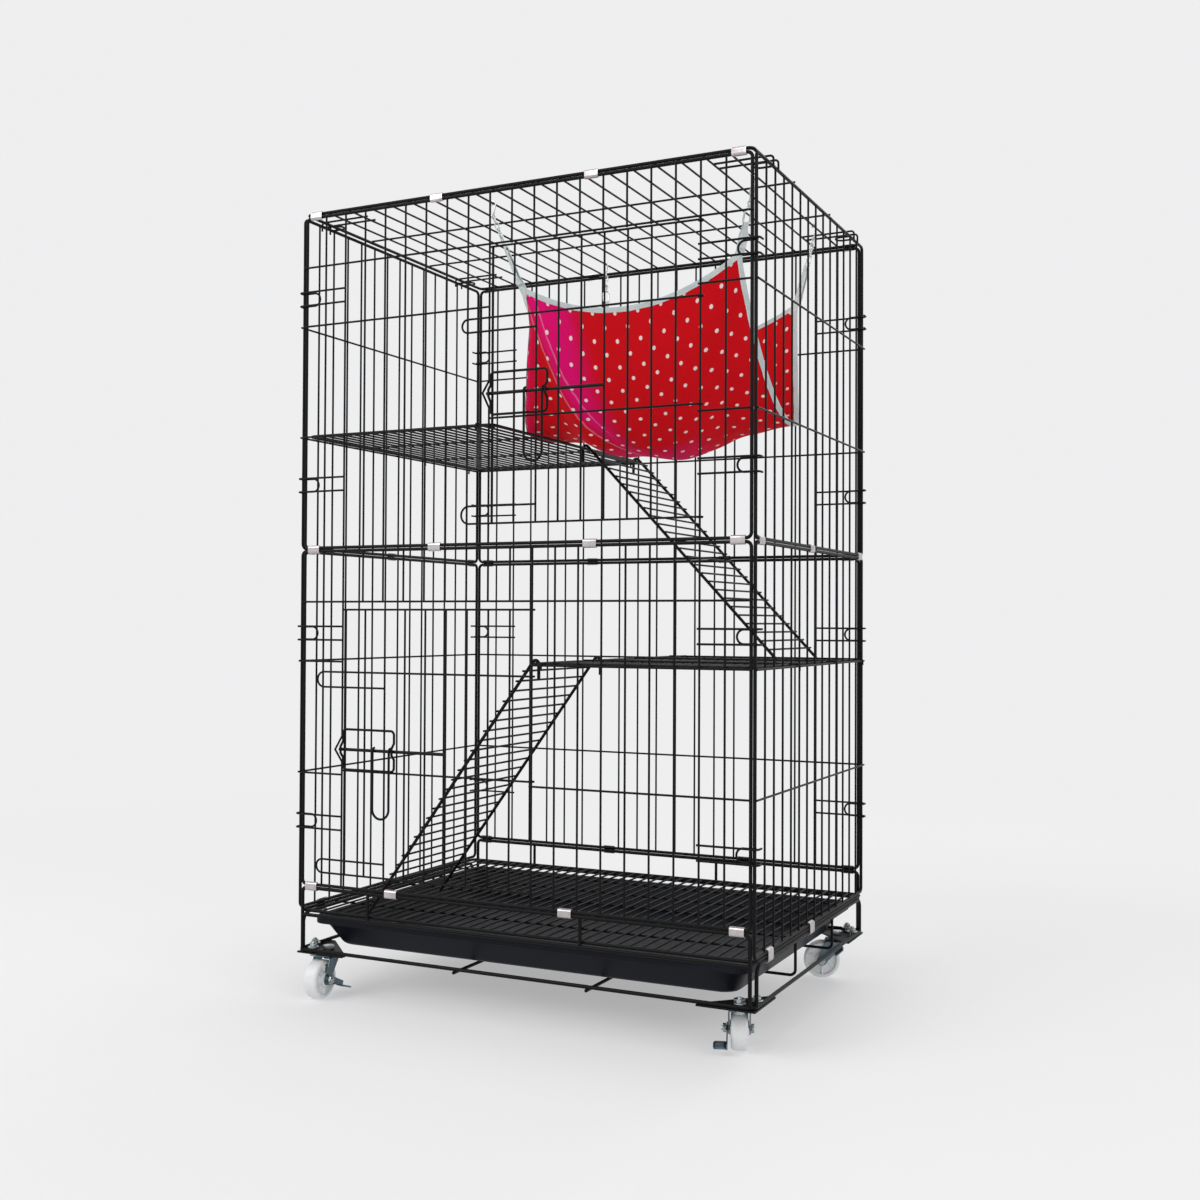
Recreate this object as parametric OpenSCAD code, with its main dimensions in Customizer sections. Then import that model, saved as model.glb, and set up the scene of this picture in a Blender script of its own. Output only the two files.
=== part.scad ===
// Two storey wire cat cage on four swivel casters, millimetres, +Z up.
// The origin is on the floor, under the middle of the cage. The doors face -Y.

/* [Walls] */
// Spacing of the upright wires in the front and back walls
wall_pitch = 30; // [26:1:36]
// Number of gaps between uprights across the front
wall_gaps = 20; // [20:1:24]
// Spacing of the upright wires in the side walls
side_pitch = 30.6; // [27:0.2:36]
// Number of gaps between uprights along a side
side_gaps = 14; // [14:1:18]
// Height of a wall between its bottom and top frame wires
wall_h = 421; // [415:1:450]
// How much further down the lower side walls reach
side_extra = 30; // [26:1:40]
// Radius of the frame wires
frame_r = 2; // [1.8:0.1:2.2]
// Radius of the infill wires
infill_r = 1.25; // [1:0.05:1.4]
// How deep welded wires sink into each other
weld = 0.25; // [0.2:0.05:0.35]
// Gap between frame wires that lie against each other
stack_gap = 0.3; // [0.2:0.05:0.5]
// Radius of the frame wires' corner bends
corner_bend = 6; // [5:0.5:6]
// How far crosswires run past the outer uprights
overrun = 2; // [1:0.5:2.5]
// Setback of the side walls' corner wires from the front wall's plane
stagger = 0.8; // [0.6:0.1:1.5]
// Height of the lower crosswire above the wall's bottom wire
row_1 = 141; // [139:1:143]
// Height of the second crosswire
row_2 = 282; // [276:1:288]
// Height of the front walls' top crosswire
row_3 = 357; // [357:1:370]
// Height of the lower corner hooks
hook_low = 80; // [70:1:100]
// Height of the upper corner hooks
hook_high = 317.5; // [308:0.5:325]
// Spacing of the two wires of a corner hook
hook_gap = 17; // [15:1:20]
// Number of gaps that a corner hook's wires reach across
hook_span = 2; // [1:1:2]
// Length of a hook's leg past its bend
hook_leg = 7; // [4:1:9]
// Inward reach of a corner loop
loop_reach = 22; // [18:1:26]

/* [Roof] */
// Distance of the roof's hooks from the front and back edges
roof_hook_in = 50; // [35:1:65]
// Distance of the roof's crosswires from the middle
roof_row = 72; // [60:1:90]

/* [Base] */
// Radius of the base ring and rail wires
ring_r = 2.25; // [2:0.05:2.5]
// Corner radius of the base ring
ring_bend = 8; // [6:0.5:9]
// Corner radius of the side hoops' tops
hoop_bend = 12; // [8:1:16]
// Height of the side rails above the base ring
deck_rise = 44.2; // [43:0.2:50]
// Inset of the front and back hoops' legs from the wall edges
hoop_in = 0.4; // [0.3:0.1:1]
// Place of the left short post on a raised rail
post_left = -200; // [-210:1:-190]
// Place of the right short post on a raised rail
post_right = 94; // [90:1:100]
// Radius of the wires that carry the tray
support_r = 1.75; // [1.5:0.05:1.9]
// Place of the front tray wire
support_front = -60; // [-75:1:-50]
// Place of the rear tray wire
support_rear = 90; // [80:1:100]
// Bend radius of the tray wires
support_bend = 7; // [5:1:10]
// Place of the left cross wire
cross_left = -74; // [-90:1:-60]
// Place of the right cross wire
cross_right = 103; // [90:1:120]

/* [Floor grid] */
// Number of gaps across the floor grid
grid_gaps = 40; // [36:1:44]
// Spacing of the grid's long stiffeners
grid_row = 71; // [66:1:75]
// Number of stiffeners each side of the middle one
grid_rows = 2; // [1:1:2]
// Corner radius of the grid's frame
grid_bend = 8; // [6:0.5:10]

/* [Tray] */
// Clearance between the tray's rim and the hoops' legs
tray_side_gap = 3.35; // [2:0.05:8]
// Depth of the tray from front to back
tray_d = 410; // [380:1:418]
// Clearance between the tray and the wires that carry it
tray_seat = 0.3; // [0.2:0.05:0.6]
// Clearance between the tray's rim and the rail above it
tray_head = 0.95; // [0.6:0.05:4]
// Wall thickness of the tray
tray_t = 2.5; // [1.6:0.1:3]
// Width of the tray's flat rim
tray_rim = 8; // [6:0.5:10]
// Depth of the rim's turned down edge
tray_lip = 9; // [6:0.5:12]
// How far the walls lean in from rim to floor
tray_lean = 17; // [12:1:20]
// Corner radius of the tray
tray_corner = 18; // [12:1:24]

/* [Shelves] */
// Inset of a shelf's free edge from the middle of the cage
shelf_edge = 28; // [28:0.5:34]
// Clearance between a shelf and the side wall's plane
shelf_wall_gap = 7.3; // [6:0.1:9]
// Clearance between a shelf and the front and back walls' planes
shelf_front_gap = 4; // [3.8:0.1:6]
// Number of gaps across a shelf
shelf_gaps = 20; // [18:1:21]
// Gap between a hooked wire and the wall wire under it
hang_gap = 0.3; // [0.2:0.05:0.5]
// Length of a shelf hook below its bend
shelf_hook = 8; // [5:1:12]
// Corner radius of a shelf's frame
shelf_bend = 8; // [6:0.5:8.5]

/* [Ladders] */
// Length of a ladder's rails
ladder_l = 392; // [386:1:398]
// Distance between a ladder's rails
ladder_w = 165; // [150:1:165]
// Spacing of the rungs
rung_pitch = 15; // [13:0.5:20]
// Distance of the first rung from the hook
rung_start = 16; // [14:1:30]
// Length of a hook's tail behind the shelf edge
ladder_tail = 18; // [12:1:24]
// Gap between a ladder hook and the wire it hangs on
ladder_gap = 0.3; // [0.2:0.05:0.4]
// Height of a rail's end above the mesh it stands on
foot_gap = 1.7; // [1.7:0.05:2.2]

/* [Doors] */
// Number of gaps that a door covers
door_gaps = 9; // [8:1:9]
// Upright that the upper door closes on
upper_at = 9; // [9:1:10]
// Upright that the lower door closes on
lower_at = 2; // [2:1:2]
// Gap between a door's free side and the upright it closes on
door_free = 5; // [4.5:0.1:6]
// Radius of a door's free side wire
door_r = 1.5; // [1.4:0.05:1.7]
// Radial gap in a hinge eye
eye_gap = 0.35; // [0.2:0.05:0.5]
// Reach of the door's loops past the upright
loop_past = 36; // [30:1:40]
// Length of the short side of a door's loop
loop_back = 100; // [80:1:110]
// Heights of the upper door's wires: foot, loop, middle, loop, loop, head
upper_rows = [24, 45, 149, 253, 269, 353]; // [10:1:355]
// Heights of the lower door's wires: foot, loop, middle, loop, loop, head
lower_rows = [17, 34, 146.5, 250, 269, 347]; // [10:1:355]

/* [Latches] */
// Height of the upper latch bolt above the wall's bottom wire
upper_latch = 178; // [175:1:182]
// Height of the lower latch bolt above the wall's bottom wire
lower_latch = 173; // [172:1:180]
// Radius of a latch bolt
bolt_r = 2; // [1.8:0.1:2.2]
// Length of a latch bolt
bolt_l = 155; // [140:1:165]
// Radius of the latch guide and handle wires
latch_r = 1.5; // [1.3:0.1:1.6]
// Running gap round a latch bolt
bolt_gap = 0.35; // [0.25:0.05:0.5]
// Width of the guide loop
guide_w = 76; // [70:1:80]
// Reach of the guide loop above and below the bolt
guide_up = 25; // [20:1:26]
// Width of a handle between its legs
handle_w = 24; // [18:1:28]
// Length of a handle below the bolt
handle_l = 83; // [70:1:95]
// Clearance between a handle and the guide's inner side
handle_stop = 1; // [0.6:0.1:3]
// Outward bend of the upright that keeps the bolt
keeper_out = 10; // [9:0.5:12]
// Sideways bend of that upright
keeper_side = 3; // [2:0.5:3]
// Half the height of that bend
keeper_half = 16; // [14:1:18]
// Gap between a withdrawn bolt and its keeper
tip_gap = 1.2; // [0.8:0.1:2]

/* [Casters] */
// Radius of a wheel
wheel_r = 24; // [22:0.5:26]
// Width of a wheel's tread
wheel_w = 19; // [16:0.5:20]
// Trail of the axle behind the swivel axis
trail = 20; // [18:0.5:22]
// Inset of the swivel axis from the base ring
swivel_in = 26; // [24:0.5:28]
// Gap between the wheel and the fork's crown
crown_gap = 1.5; // [1:0.1:3]
// Thickness of the fork's sheet
fork_t = 1.6; // [1.2:0.1:2]
// Thickness of the fork's crown
crown_t = 2; // [1.6:0.1:2.4]
// Thickness of the swivel bearing
race_t = 3.4; // [3:0.1:5]
// Radius of the swivel bearing
race_r = 12; // [10:0.5:13]
// Thickness of a corner plate
plate_t = 2; // [1.6:0.1:2.4]
// Length of a corner plate's legs
plate_leg = 69; // [66:1:76]
// Gap between faces that bear on each other
seat = 0.3; // [0.2:0.05:0.4]
// Radial running gap of pins in their bores
run_gap = 0.05; // [0.03:0.01:0.08]
// Radius of a kingpin
king_r = 4; // [3.5:0.1:4.5]
// Thickness of a kingpin's nut
king_nut = 4.2; // [3.6:0.1:4.3]
// Radius of an axle
axle_r = 3; // [2.5:0.1:3.5]
// Radius of a clamp bolt
clamp_r = 2.5; // [2:0.1:2.8]
// Length of a brake lever from the axle
lever_l = 34; // [30:1:35]
// Width of a brake lever's foot tab
lever_tab = 16; // [10:1:18]
// Angle of a lever that is off, from the trail's direction
lever_off = 140; // [135:1:145]
// Turn of a lever from off to on
lever_turn = 60; // [45:1:60]

/* [Hammock] */
// Thickness of the cloth
cloth_t = 2.4; // [2:0.1:3]
// Sag of the cloth across its width
hem_sag = 34; // [28:1:38]
// Clearance between the cloth and the upper shelf
cloth_lift = 2.4; // [2:0.1:8]
// Rise of the cloth's right side above its left side
cloth_rise = 11; // [4:1:16]
// Height of the folds
fold_h = 5; // [2:0.5:6]
// Width of the webbing straps
strap_w = 14; // [10:1:18]
// Gap between a strap's end and the cloth's tip
strap_gap = 0.7; // [0.5:0.1:1]
// Thickness of the webbing straps
strap_t = 1.8; // [1.2:0.1:2.4]
// Length of a snap hook
snap_l = 24; // [22:1:26]
// Radius of a chain link
link_r = 3.2; // [3:0.1:3.6]
// Length of a chain link's straight sides
link_l = 5; // [4:0.5:8]
// Number of chain links on each hanger
link_count = 2; // [2:1:3]
// Radius of a chain link's wire
link_wire = 0.9; // [0.8:0.05:1]
// Length of a roof hook below its wire
hanger_drop = 13; // [10:1:16]

/* [Clips] */
// Length of a clip
clip_l = 17; // [12:1:18]
// Thickness of a clip's sheet
clip_t = 0.8; // [0.6:0.1:1]

/* [Hidden] */

// Facets round a wire, and along a tight bend in it
$fn = 24;
// A joint ball in a kinked wire is this much larger than the wire
knee = 0.03;

// Plan sizes
wall_w = wall_pitch * wall_gaps;
side_w = side_pitch * side_gaps;
stack = 2 * frame_r + stack_gap;
wall_y = side_w / 2 + stagger;
side_x = wall_w / 2 + stack;
// Distance between the centres of two welded infill wires
cross_step = 2 * infill_r - weld;
// Infill uprights lie this far outside the frame's plane, crosswires further out
upright_out = 0.75;
row_out = upright_out + cross_step;

// Caster heights
crown_z = 2 * wheel_r + crown_gap;
race_z = crown_z + crown_t + seat;
plate_z = race_z + race_t + seat;
ring_z = plate_z + plate_t + seat + ring_r;
swivel_x = side_x - swivel_in;
swivel_y = wall_y - swivel_in;

// Levels of the cage
rail_z = ring_z + deck_rise;
grid_z = rail_z + ring_r + frame_r + stack_gap;
side_foot = grid_z + stack;
front_foot = side_foot + side_extra;
raised_z = front_foot - frame_r - ring_r - stack_gap;
lower_top = front_foot + wall_h;
upper_foot = lower_top + stack;
upper_top = upper_foot + wall_h;
roof_z = upper_top + stack;

// Doors and latches, from the hinge upright's axis
door_w = door_gaps * wall_pitch;
eye_bend = 2 * infill_r + eye_gap;
door_upright = -eye_bend + cross_step;
bolt_y = door_upright - door_r - bolt_gap - bolt_r;
guide_y = door_upright - infill_r - latch_r + weld;
keeper_x = -door_w - keeper_side;
bolt_tip = keeper_x + infill_r + tip_gap;
guide_left = -door_w + door_free - 1;
guide_right = guide_left + guide_w;
handle_right = guide_right - 2 * latch_r - handle_stop;
handle_bend = bolt_r + seat + latch_r;
upper_hinge = -wall_w / 2 + (upper_at + door_gaps) * wall_pitch;
lower_hinge = -wall_w / 2 + (lower_at + door_gaps) * wall_pitch;
hinge_y = -wall_y - upright_out;

// Shelves: the stiffeners lie on the walls' crosswires
shelf_lift = 2 * infill_r + hang_gap - upright_out * 2;
lower_shelf_z = front_foot + row_2 + shelf_lift;
upper_shelf_z = upper_foot + row_1 + shelf_lift;
shelf_out = side_x - shelf_wall_gap;
shelf_y = wall_y - shelf_front_gap;
shelf_step = (shelf_out - shelf_edge) / shelf_gaps;

// Ladders hang where a shelf's corner bend starts, and lean so that their feet meet the mesh below
ladder_bend = 2 * frame_r + ladder_gap;
grid_top = grid_z + frame_r;
lower_lean = lean_for(lower_shelf_z - grid_top - foot_gap);
upper_lean = lean_for(upper_shelf_z - lower_shelf_z - infill_r + upright_out - foot_gap);
ladder_y = shelf_y - shelf_bend;

// Tray
support_z = ring_z + 0.7;
tray_z = support_z + support_r + tray_seat;
tray_top = rail_z - ring_r - tray_head;
tray_x = wall_w / 2 - hoop_in - ring_r - tray_side_gap;

// The angle at which a ladder drops by h from its hook to its foot, to a hundredth of a degree
function lean_for(h) = let(
  a = asin(h / norm([ladder_l, ladder_bend])) + atan(ladder_bend / ladder_l)
) round(100 * a) / 100;

// Straight wire from p to q
module rod(p, q, r) {
  v = q - p;
  l = norm(v);
  translate(p) rotate([0, acos(v[2] / l), atan2(v[1], v[0])]) cylinder(r = r, h = l);
}

// Kinked wire through a list of points, with a ball in each knee
module kinked(points, r) {
  for (i = [1 : len(points) - 1]) rod(points[i - 1], points[i], r);
  for (i = [1 : len(points) - 2]) translate(points[i]) sphere(r = r + knee);
}

// Bent wire in a level plane: from is the start angle, measured from +X towards +Y
module bend_xy(c, bend, from, turn, r) {
  translate(c) rotate([0, 0, from]) rotate_extrude(angle = turn) translate([bend, 0]) circle(r = r);
}

// Bent wire in a plane facing Y: angles from +X towards +Z
module bend_xz(c, bend, from, turn, r) {
  translate(c) rotate([90, 0, 0]) bend_xy([0, 0, 0], bend, from, turn, r);
}

// Bent wire in a plane facing X: angles from +Y towards +Z
module bend_yz(c, bend, from, turn, r) {
  translate(c) rotate([90, 0, 90]) bend_xy([0, 0, 0], bend, from, turn, r);
}

// Closed rectangle of wire in the XZ plane, from its lower left corner
module ring_frame(w, h, r, b) {
  for (s = [0, 1]) {
    rod([b, 0, s * h], [w - b, 0, s * h], r);
    rod([s * w, 0, b], [s * w, 0, h - b], r);
  }
  for (c = [[b, b, 180], [w - b, b, 270], [w - b, h - b, 0], [b, h - b, 90]])
    bend_xz([c[0], 0, c[1]], b, c[2], 90, r);
}

// Closed level rectangle of wire between two opposite corners
module level_frame(x0, y0, x1, y1, z, r, b) {
  translate([x0, y0, z]) rotate([-90, 0, 0]) ring_frame(x1 - x0, y1 - y0, r, b);
}

// Welded wall from its lower left corner, seen from outside, outer side -Y.
// gaps uprights apart, crosswires at rows; door is [first, last] upright of a doorway.
module wall(w, gaps, h, rows, head, door, keep) {
  pitch = w / gaps;
  ring_frame(w, h, frame_r, corner_bend);
  for (i = [1 : gaps - 1])
    if (i == door[0]) kept_upright(i * pitch, h, keep);
    else if (i <= door[0] || i >= door[1]) upright(i * pitch, 1, h - 1);
    else upright(i * pitch, head - 1, h - 1);
  for (z = rows)
    if (door[1] > 0) {
      crosswire(-overrun, door[0] * pitch + overrun, z);
      crosswire(door[1] * pitch - overrun, w + overrun, z);
    } else crosswire(-overrun, w + overrun, z);
  if (head > 0) crosswire(-overrun, w + overrun, head);
}

module upright(x, z0, z1) {
  rod([x, -upright_out, z0], [x, -upright_out, z1], infill_r);
}

module crosswire(x0, x1, z) {
  rod([x0, -row_out, z], [x1, -row_out, z], infill_r);
}

// Upright that bends out and sideways, so that a bolt slides in behind it
module kept_upright(x, h, z) {
  kinked([
    [x, -upright_out, 1], [x, -upright_out, z - keeper_half],
    [x - keeper_side, -upright_out - keeper_out, z],
    [x, -upright_out, z + keeper_half], [x, -upright_out, h - 1]
  ], infill_r);
}

// Pair of hooks at one corner that reach round the side wall's edge, corner at x = 0
module corner_hooks(z, pitch) {
  reach = stack + frame_r + infill_r + 1.95;
  bend = 4;
  for (s = [-0.5, 0.5]) {
    level = z + s * hook_gap;
    rod([-reach + bend, -row_out, level], [hook_span * pitch + overrun, -row_out, level], infill_r);
    bend_xy([-reach + bend, -row_out + bend, level], bend, 180, 90, infill_r);
    rod([-reach, -row_out + bend, level], [-reach, -row_out + bend + hook_leg, level], infill_r);
  }
}

// Corner loop that stands square to a side wall, x is its distance from the wall's end
module corner_loop(x, z) {
  half = hook_gap / 2 - 0.5;
  for (s = [-1, 1]) rod([x, -1.5, z + s * half], [x, loop_reach - half, z + s * half], infill_r);
  bend_yz([x, loop_reach - half, z], half, -90, 180, infill_r);
}

// Front or back wall, placed in the cage but facing -Y
module broad_wall(foot, head, door, keep) {
  translate([-wall_w / 2, -wall_y, foot]) {
    wall(wall_w, wall_gaps, wall_h, [row_1, row_2], head, door, keep);
    for (z = [hook_low, hook_high]) {
      corner_hooks(z, wall_pitch);
      translate([wall_w, 0, 0]) mirror([1, 0, 0]) corner_hooks(z, wall_pitch);
    }
  }
}

// Right hand side wall; extra lengthens it downwards
module side_wall(foot, extra, roofed) {
  loop_x = frame_r + infill_r + 0.35 - stagger;
  translate([side_x, -side_w / 2, foot]) rotate([0, 0, 90]) {
    wall(side_w, side_gaps, wall_h + extra, [row_1 + extra, row_2 + extra], 0, [-1, -1], 0);
    for (z = [hook_low + extra, hook_high + extra]) {
      corner_loop(loop_x, z);
      corner_loop(side_w - loop_x, z);
    }
    if (roofed) for (s = [roof_hook_in, side_w - roof_hook_in]) top_loop(s, wall_h);
  }
}

// Loop that stands off a side wall's top wire, under the roof's edge
module top_loop(x, h) {
  half = hook_gap / 2 - 0.5;
  z = h + stack - frame_r - infill_r - 0.35;
  for (s = [-1, 1]) rod([x + s * half, -1.5, z], [x + s * half, loop_reach - half, z], infill_r);
  bend_xy([x, loop_reach - half, z], half, 0, 180, infill_r);
}

module lower_front_wall() {
  color("#1b1b1d") broad_wall(front_foot, row_3, [lower_at, lower_at + door_gaps], lower_latch);
}

module upper_front_wall() {
  color("#1b1b1d") broad_wall(upper_foot, row_3, [upper_at, upper_at + door_gaps], upper_latch);
}

module lower_back_wall() {
  color("#1b1b1d") mirror([0, 1, 0]) broad_wall(front_foot, 0, [-1, -1], 0);
}

module upper_back_wall() {
  color("#1b1b1d") mirror([0, 1, 0]) broad_wall(upper_foot, 0, [-1, -1], 0);
}

module lower_right_wall() {
  color("#1b1b1d") side_wall(side_foot, side_extra, false);
}

module lower_left_wall() {
  color("#1b1b1d") mirror([1, 0, 0]) side_wall(side_foot, side_extra, false);
}

module upper_right_wall() {
  color("#1b1b1d") side_wall(upper_foot, 0, true);
}

module upper_left_wall() {
  color("#1b1b1d") mirror([1, 0, 0]) side_wall(upper_foot, 0, true);
}

// Roof: uprights of the same mesh run front to back, and hooks reach down over the side walls
module roof() {
  z_row = roof_z + row_out;
  end = wall_w / 2 + overrun;
  color("#1b1b1d") {
    level_frame(-wall_w / 2, -wall_y, wall_w / 2, wall_y, roof_z, frame_r, corner_bend);
    for (i = [1 : wall_gaps - 1]) {
      x = -wall_w / 2 + i * wall_pitch;
      rod([x, -wall_y + 1, roof_z + upright_out], [x, wall_y - 1, roof_z + upright_out], infill_r);
    }
    for (s = [-1, 1]) rod([-end, s * roof_row, z_row], [end, s * roof_row, z_row], infill_r);
    for (m = [0, 1], s = [-1, 1], t = [-0.5, 0.5])
      mirror([m, 0, 0]) roof_hook(s * (side_w / 2 - roof_hook_in) + t * hook_gap, z_row);
  }
}

// One roof hook at the left edge
module roof_hook(y, z) {
  reach = side_x + frame_r + infill_r + 1.95;
  bend = 4;
  rod([-reach + bend, y, z], [-wall_w / 2 + hook_span * wall_pitch + overrun, y, z], infill_r);
  bend_xz([-reach + bend, y, z - bend], bend, 90, 90, infill_r);
  rod([-reach, y, z - bend], [-reach, y, z - bend - hook_leg], infill_r);
}

// Base: ring under the tray, side hoops with the rails, front and back hoops with short posts
module base_frame() {
  leg_x = wall_w / 2 - hoop_in;
  color("#1b1b1d") {
    level_frame(-side_x, -wall_y, side_x, wall_y, ring_z, ring_r, ring_bend);
    for (s = [-1, 1]) {
      side_hoop(s * side_x);
      end_hoop(s * wall_y, leg_x);
    }
  }
}

// Posts at both ends of one side, and the rail that the floor grid lies on
module side_hoop(x) {
  y = wall_y - ring_bend;
  for (s = [-1, 1]) rod([x, s * y, ring_z], [x, s * y, rail_z - hoop_bend], ring_r);
  rod([x, -y + hoop_bend, rail_z], [x, y - hoop_bend, rail_z], ring_r);
  bend_yz([x, y - hoop_bend, rail_z - hoop_bend], hoop_bend, 0, 90, ring_r);
  bend_yz([x, -y + hoop_bend, rail_z - hoop_bend], hoop_bend, 90, 90, ring_r);
}

// Front or back hoop: legs, cross rail, raised rail and its short posts
module end_hoop(y, x) {
  for (s = [-1, 1]) rod([s * x, y, ring_z], [s * x, y, raised_z - corner_bend], ring_r);
  rod([-x + corner_bend, y, raised_z], [x - corner_bend, y, raised_z], ring_r);
  bend_xz([x - corner_bend, y, raised_z - corner_bend], corner_bend, 0, 90, ring_r);
  bend_xz([-x + corner_bend, y, raised_z - corner_bend], corner_bend, 90, 90, ring_r);
  rod([-x, y, rail_z], [x, y, rail_z], ring_r);
  for (p = [post_left, post_right]) rod([p, y, rail_z], [p, y, raised_z], frame_r);
}

// Wire that hangs from both side rails and runs under the tray
module tray_support(y) {
  x = side_x - ring_r - support_r + weld;
  top = rail_z + 1;
  color("#1b1b1d") {
    for (s = [-1, 1]) rod([s * x, y, support_z + support_bend], [s * x, y, top], support_r);
    rod([-x + support_bend, y, support_z], [x - support_bend, y, support_z], support_r);
    bend_xz([x - support_bend, y, support_z + support_bend], support_bend, 270, 90, support_r);
    bend_xz([-x + support_bend, y, support_z + support_bend], support_bend, 180, 90, support_r);
  }
}

module tray_support_front() {
  tray_support(support_front);
}

module tray_support_rear() {
  tray_support(support_rear);
}

// Wire welded under the front and back of the base ring
module base_cross(x) {
  z = ring_z - ring_r - frame_r + weld;
  color("#1b1b1d") rod([x, -wall_y - overrun, z], [x, wall_y + overrun, z], frame_r);
}

module base_cross_left() {
  base_cross(cross_left);
}

module base_cross_right() {
  base_cross(cross_right);
}

// Floor grid: fine wires front to back over a few long stiffeners
module floor_grid() {
  y = wall_y - frame_r - ring_r - 0.35;
  step = 2 * side_x / grid_gaps;
  end = side_x - frame_r + weld;
  color("#1b1b1d") {
    level_frame(-side_x, -y, side_x, y, grid_z, frame_r, grid_bend);
    for (i = [1 : grid_gaps - 1]) translate([-side_x + i * step, 0, grid_z + upright_out])
      rod([0, -y + 1, 0], [0, y - 1, 0], infill_r);
    for (i = [-grid_rows : grid_rows])
      rod([-end, i * grid_row, grid_z - 1.5], [end, i * grid_row, grid_z - 1.5], infill_r);
  }
}

// Plate with rounded corners, grown by g beyond the tray's inner mouth
module tray_slab(g, h) {
  x = tray_x - tray_rim + g - tray_corner;
  y = tray_d / 2 - tray_rim + g - tray_corner;
  hull() for (i = [-1, 1], j = [-1, 1])
    translate([i * x, j * y, 0]) cylinder(r = tray_corner, h = h, $fn = 32);
}

// Tray: leaning walls, flat rim and a turned down edge
module tray() {
  color("#15161a") {
    difference() {
      union() {
        hull() {
          translate([0, 0, tray_z]) tray_slab(-tray_lean, 0.1);
          translate([0, 0, tray_top - tray_t]) tray_slab(tray_t, tray_t);
        }
        translate([0, 0, tray_top - tray_t]) tray_slab(tray_rim, tray_t);
        difference() {
          translate([0, 0, tray_top - tray_lip]) tray_slab(tray_rim, tray_lip);
          translate([0, 0, tray_top - tray_lip - 1]) tray_slab(tray_rim - tray_t, tray_lip + 2);
        }
      }
      hull() {
        translate([0, 0, tray_z + tray_t]) tray_slab(-tray_lean - tray_t, 0.1);
        translate([0, 0, tray_top]) tray_slab(0, 0.1);
      }
    }
  }
}

// Shelf on the left hand side, its free edge to the right
module shelf(z) {
  top = z + 2 * upright_out;
  fine_z = z - upright_out;
  color("#1b1b1d") {
    level_frame(-shelf_out, -shelf_y, -shelf_edge, shelf_y, z, frame_r, shelf_bend);
    for (i = [1 : shelf_gaps - 1]) translate([-shelf_edge - i * shelf_step, 0, fine_z])
      rod([0, -shelf_y + 1, 0], [0, shelf_y - 1, 0], infill_r);
    for (k = [4, 9, 13]) stiffener((k + 0.5) * side_pitch - side_w / 2, top);
    for (s = [-1, 1]) mirror([0, (s + 1) / 2, 0]) end_hook(-shelf_edge - 17, top);
  }
}

// Long wire across a shelf that hooks over the side wall's crosswire
module stiffener(y, z) {
  x = side_x + row_out + 2 * infill_r + 0.5;
  bend = 3;
  rod([-x + bend, y, z], [-shelf_edge, y, z], infill_r);
  bend_xz([-x + bend, y, z - bend], bend, 90, 90, infill_r);
  rod([-x, y, z - bend], [-x, y, z - shelf_hook], infill_r);
}

// Short wire at a shelf's front edge that hooks over the front wall's crosswire
module end_hook(x, z) {
  y = wall_y + row_out + 2 * infill_r + 0.5;
  bend = 3;
  rod([x, -y + bend, z], [x, -shelf_y + 34, z], infill_r);
  bend_yz([x, -y + bend, z - bend], bend, 90, 90, infill_r);
  rod([x, -y, z - bend], [x, -y, z - shelf_hook], infill_r);
}

module upper_shelf() {
  shelf(upper_shelf_z);
}

module lower_shelf() {
  mirror([1, 0, 0]) shelf(lower_shelf_z);
}

// Ladder hooked over a wire along Y at the origin, leaning down towards +X
module ladder(lean) {
  side = [sin(lean), 0, cos(lean)];
  down = [cos(lean), 0, -sin(lean)];
  top = ladder_bend * side;
  rungs = floor((ladder_l - rung_start - 6) / rung_pitch);
  over = frame_r + infill_r - weld;
  for (y = [0, ladder_w]) translate([0, y, 0]) {
    rod(top, top + ladder_l * down, frame_r);
    bend_xz([0, 0, 0], ladder_bend, 90 - lean, 90 + lean, frame_r);
    rod([-ladder_bend, 0, 0], [-ladder_bend, 0, -ladder_tail], frame_r);
    for (joint = [top, [-ladder_bend, 0, 0]]) translate(joint) sphere(r = frame_r + knee);
  }
  for (i = [0 : rungs]) {
    p = top + (rung_start + i * rung_pitch) * down + over * side;
    rod(p + [0, -3, 0], p + [0, ladder_w + 3, 0], infill_r);
  }
}

module upper_ladder() {
  color("#1b1b1d") translate([-shelf_edge, ladder_y - ladder_w, upper_shelf_z]) ladder(upper_lean);
}

module lower_ladder() {
  color("#1b1b1d") translate([shelf_edge, -ladder_y, lower_shelf_z]) mirror([1, 0, 0]) ladder(lower_lean);
}

// Door from its hinge axis towards -X, in front of the wall
module door(rows, latch) {
  free = -door_w + door_free;
  step = (door_w - door_free) / door_gaps;
  rod([free, door_upright, rows[0] - 1], [free, door_upright, rows[5] + 1], door_r);
  for (i = [1 : door_gaps - 1])
    rod([-i * step, door_upright, rows[0] - 1], [-i * step, door_upright, rows[5] + 1], infill_r);
  for (z = [rows[2], rows[5]]) rod([free - overrun, -eye_bend, z], [0, -eye_bend, z], infill_r);
  door_loop(rows[0], rows[1]);
  door_loop(rows[4], rows[3]);
  for (z = [rows[0], rows[2], rows[4], rows[5]]) bend_xy([0, 0, z], eye_bend, -90, 250, infill_r);
  guide(latch);
}

// Loop that reaches past the doorway: the long side at z, the short one at back
module door_loop(z, back) {
  half = abs(back - z) / 2;
  x = -door_w - loop_past + half;
  rod([x, -eye_bend, z], [0, -eye_bend, z], infill_r);
  rod([x, -eye_bend, back], [x - half + loop_back, -eye_bend, back], infill_r);
  bend_xz([x, -eye_bend, (z + back) / 2], half, 90, 180, infill_r);
}

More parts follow.
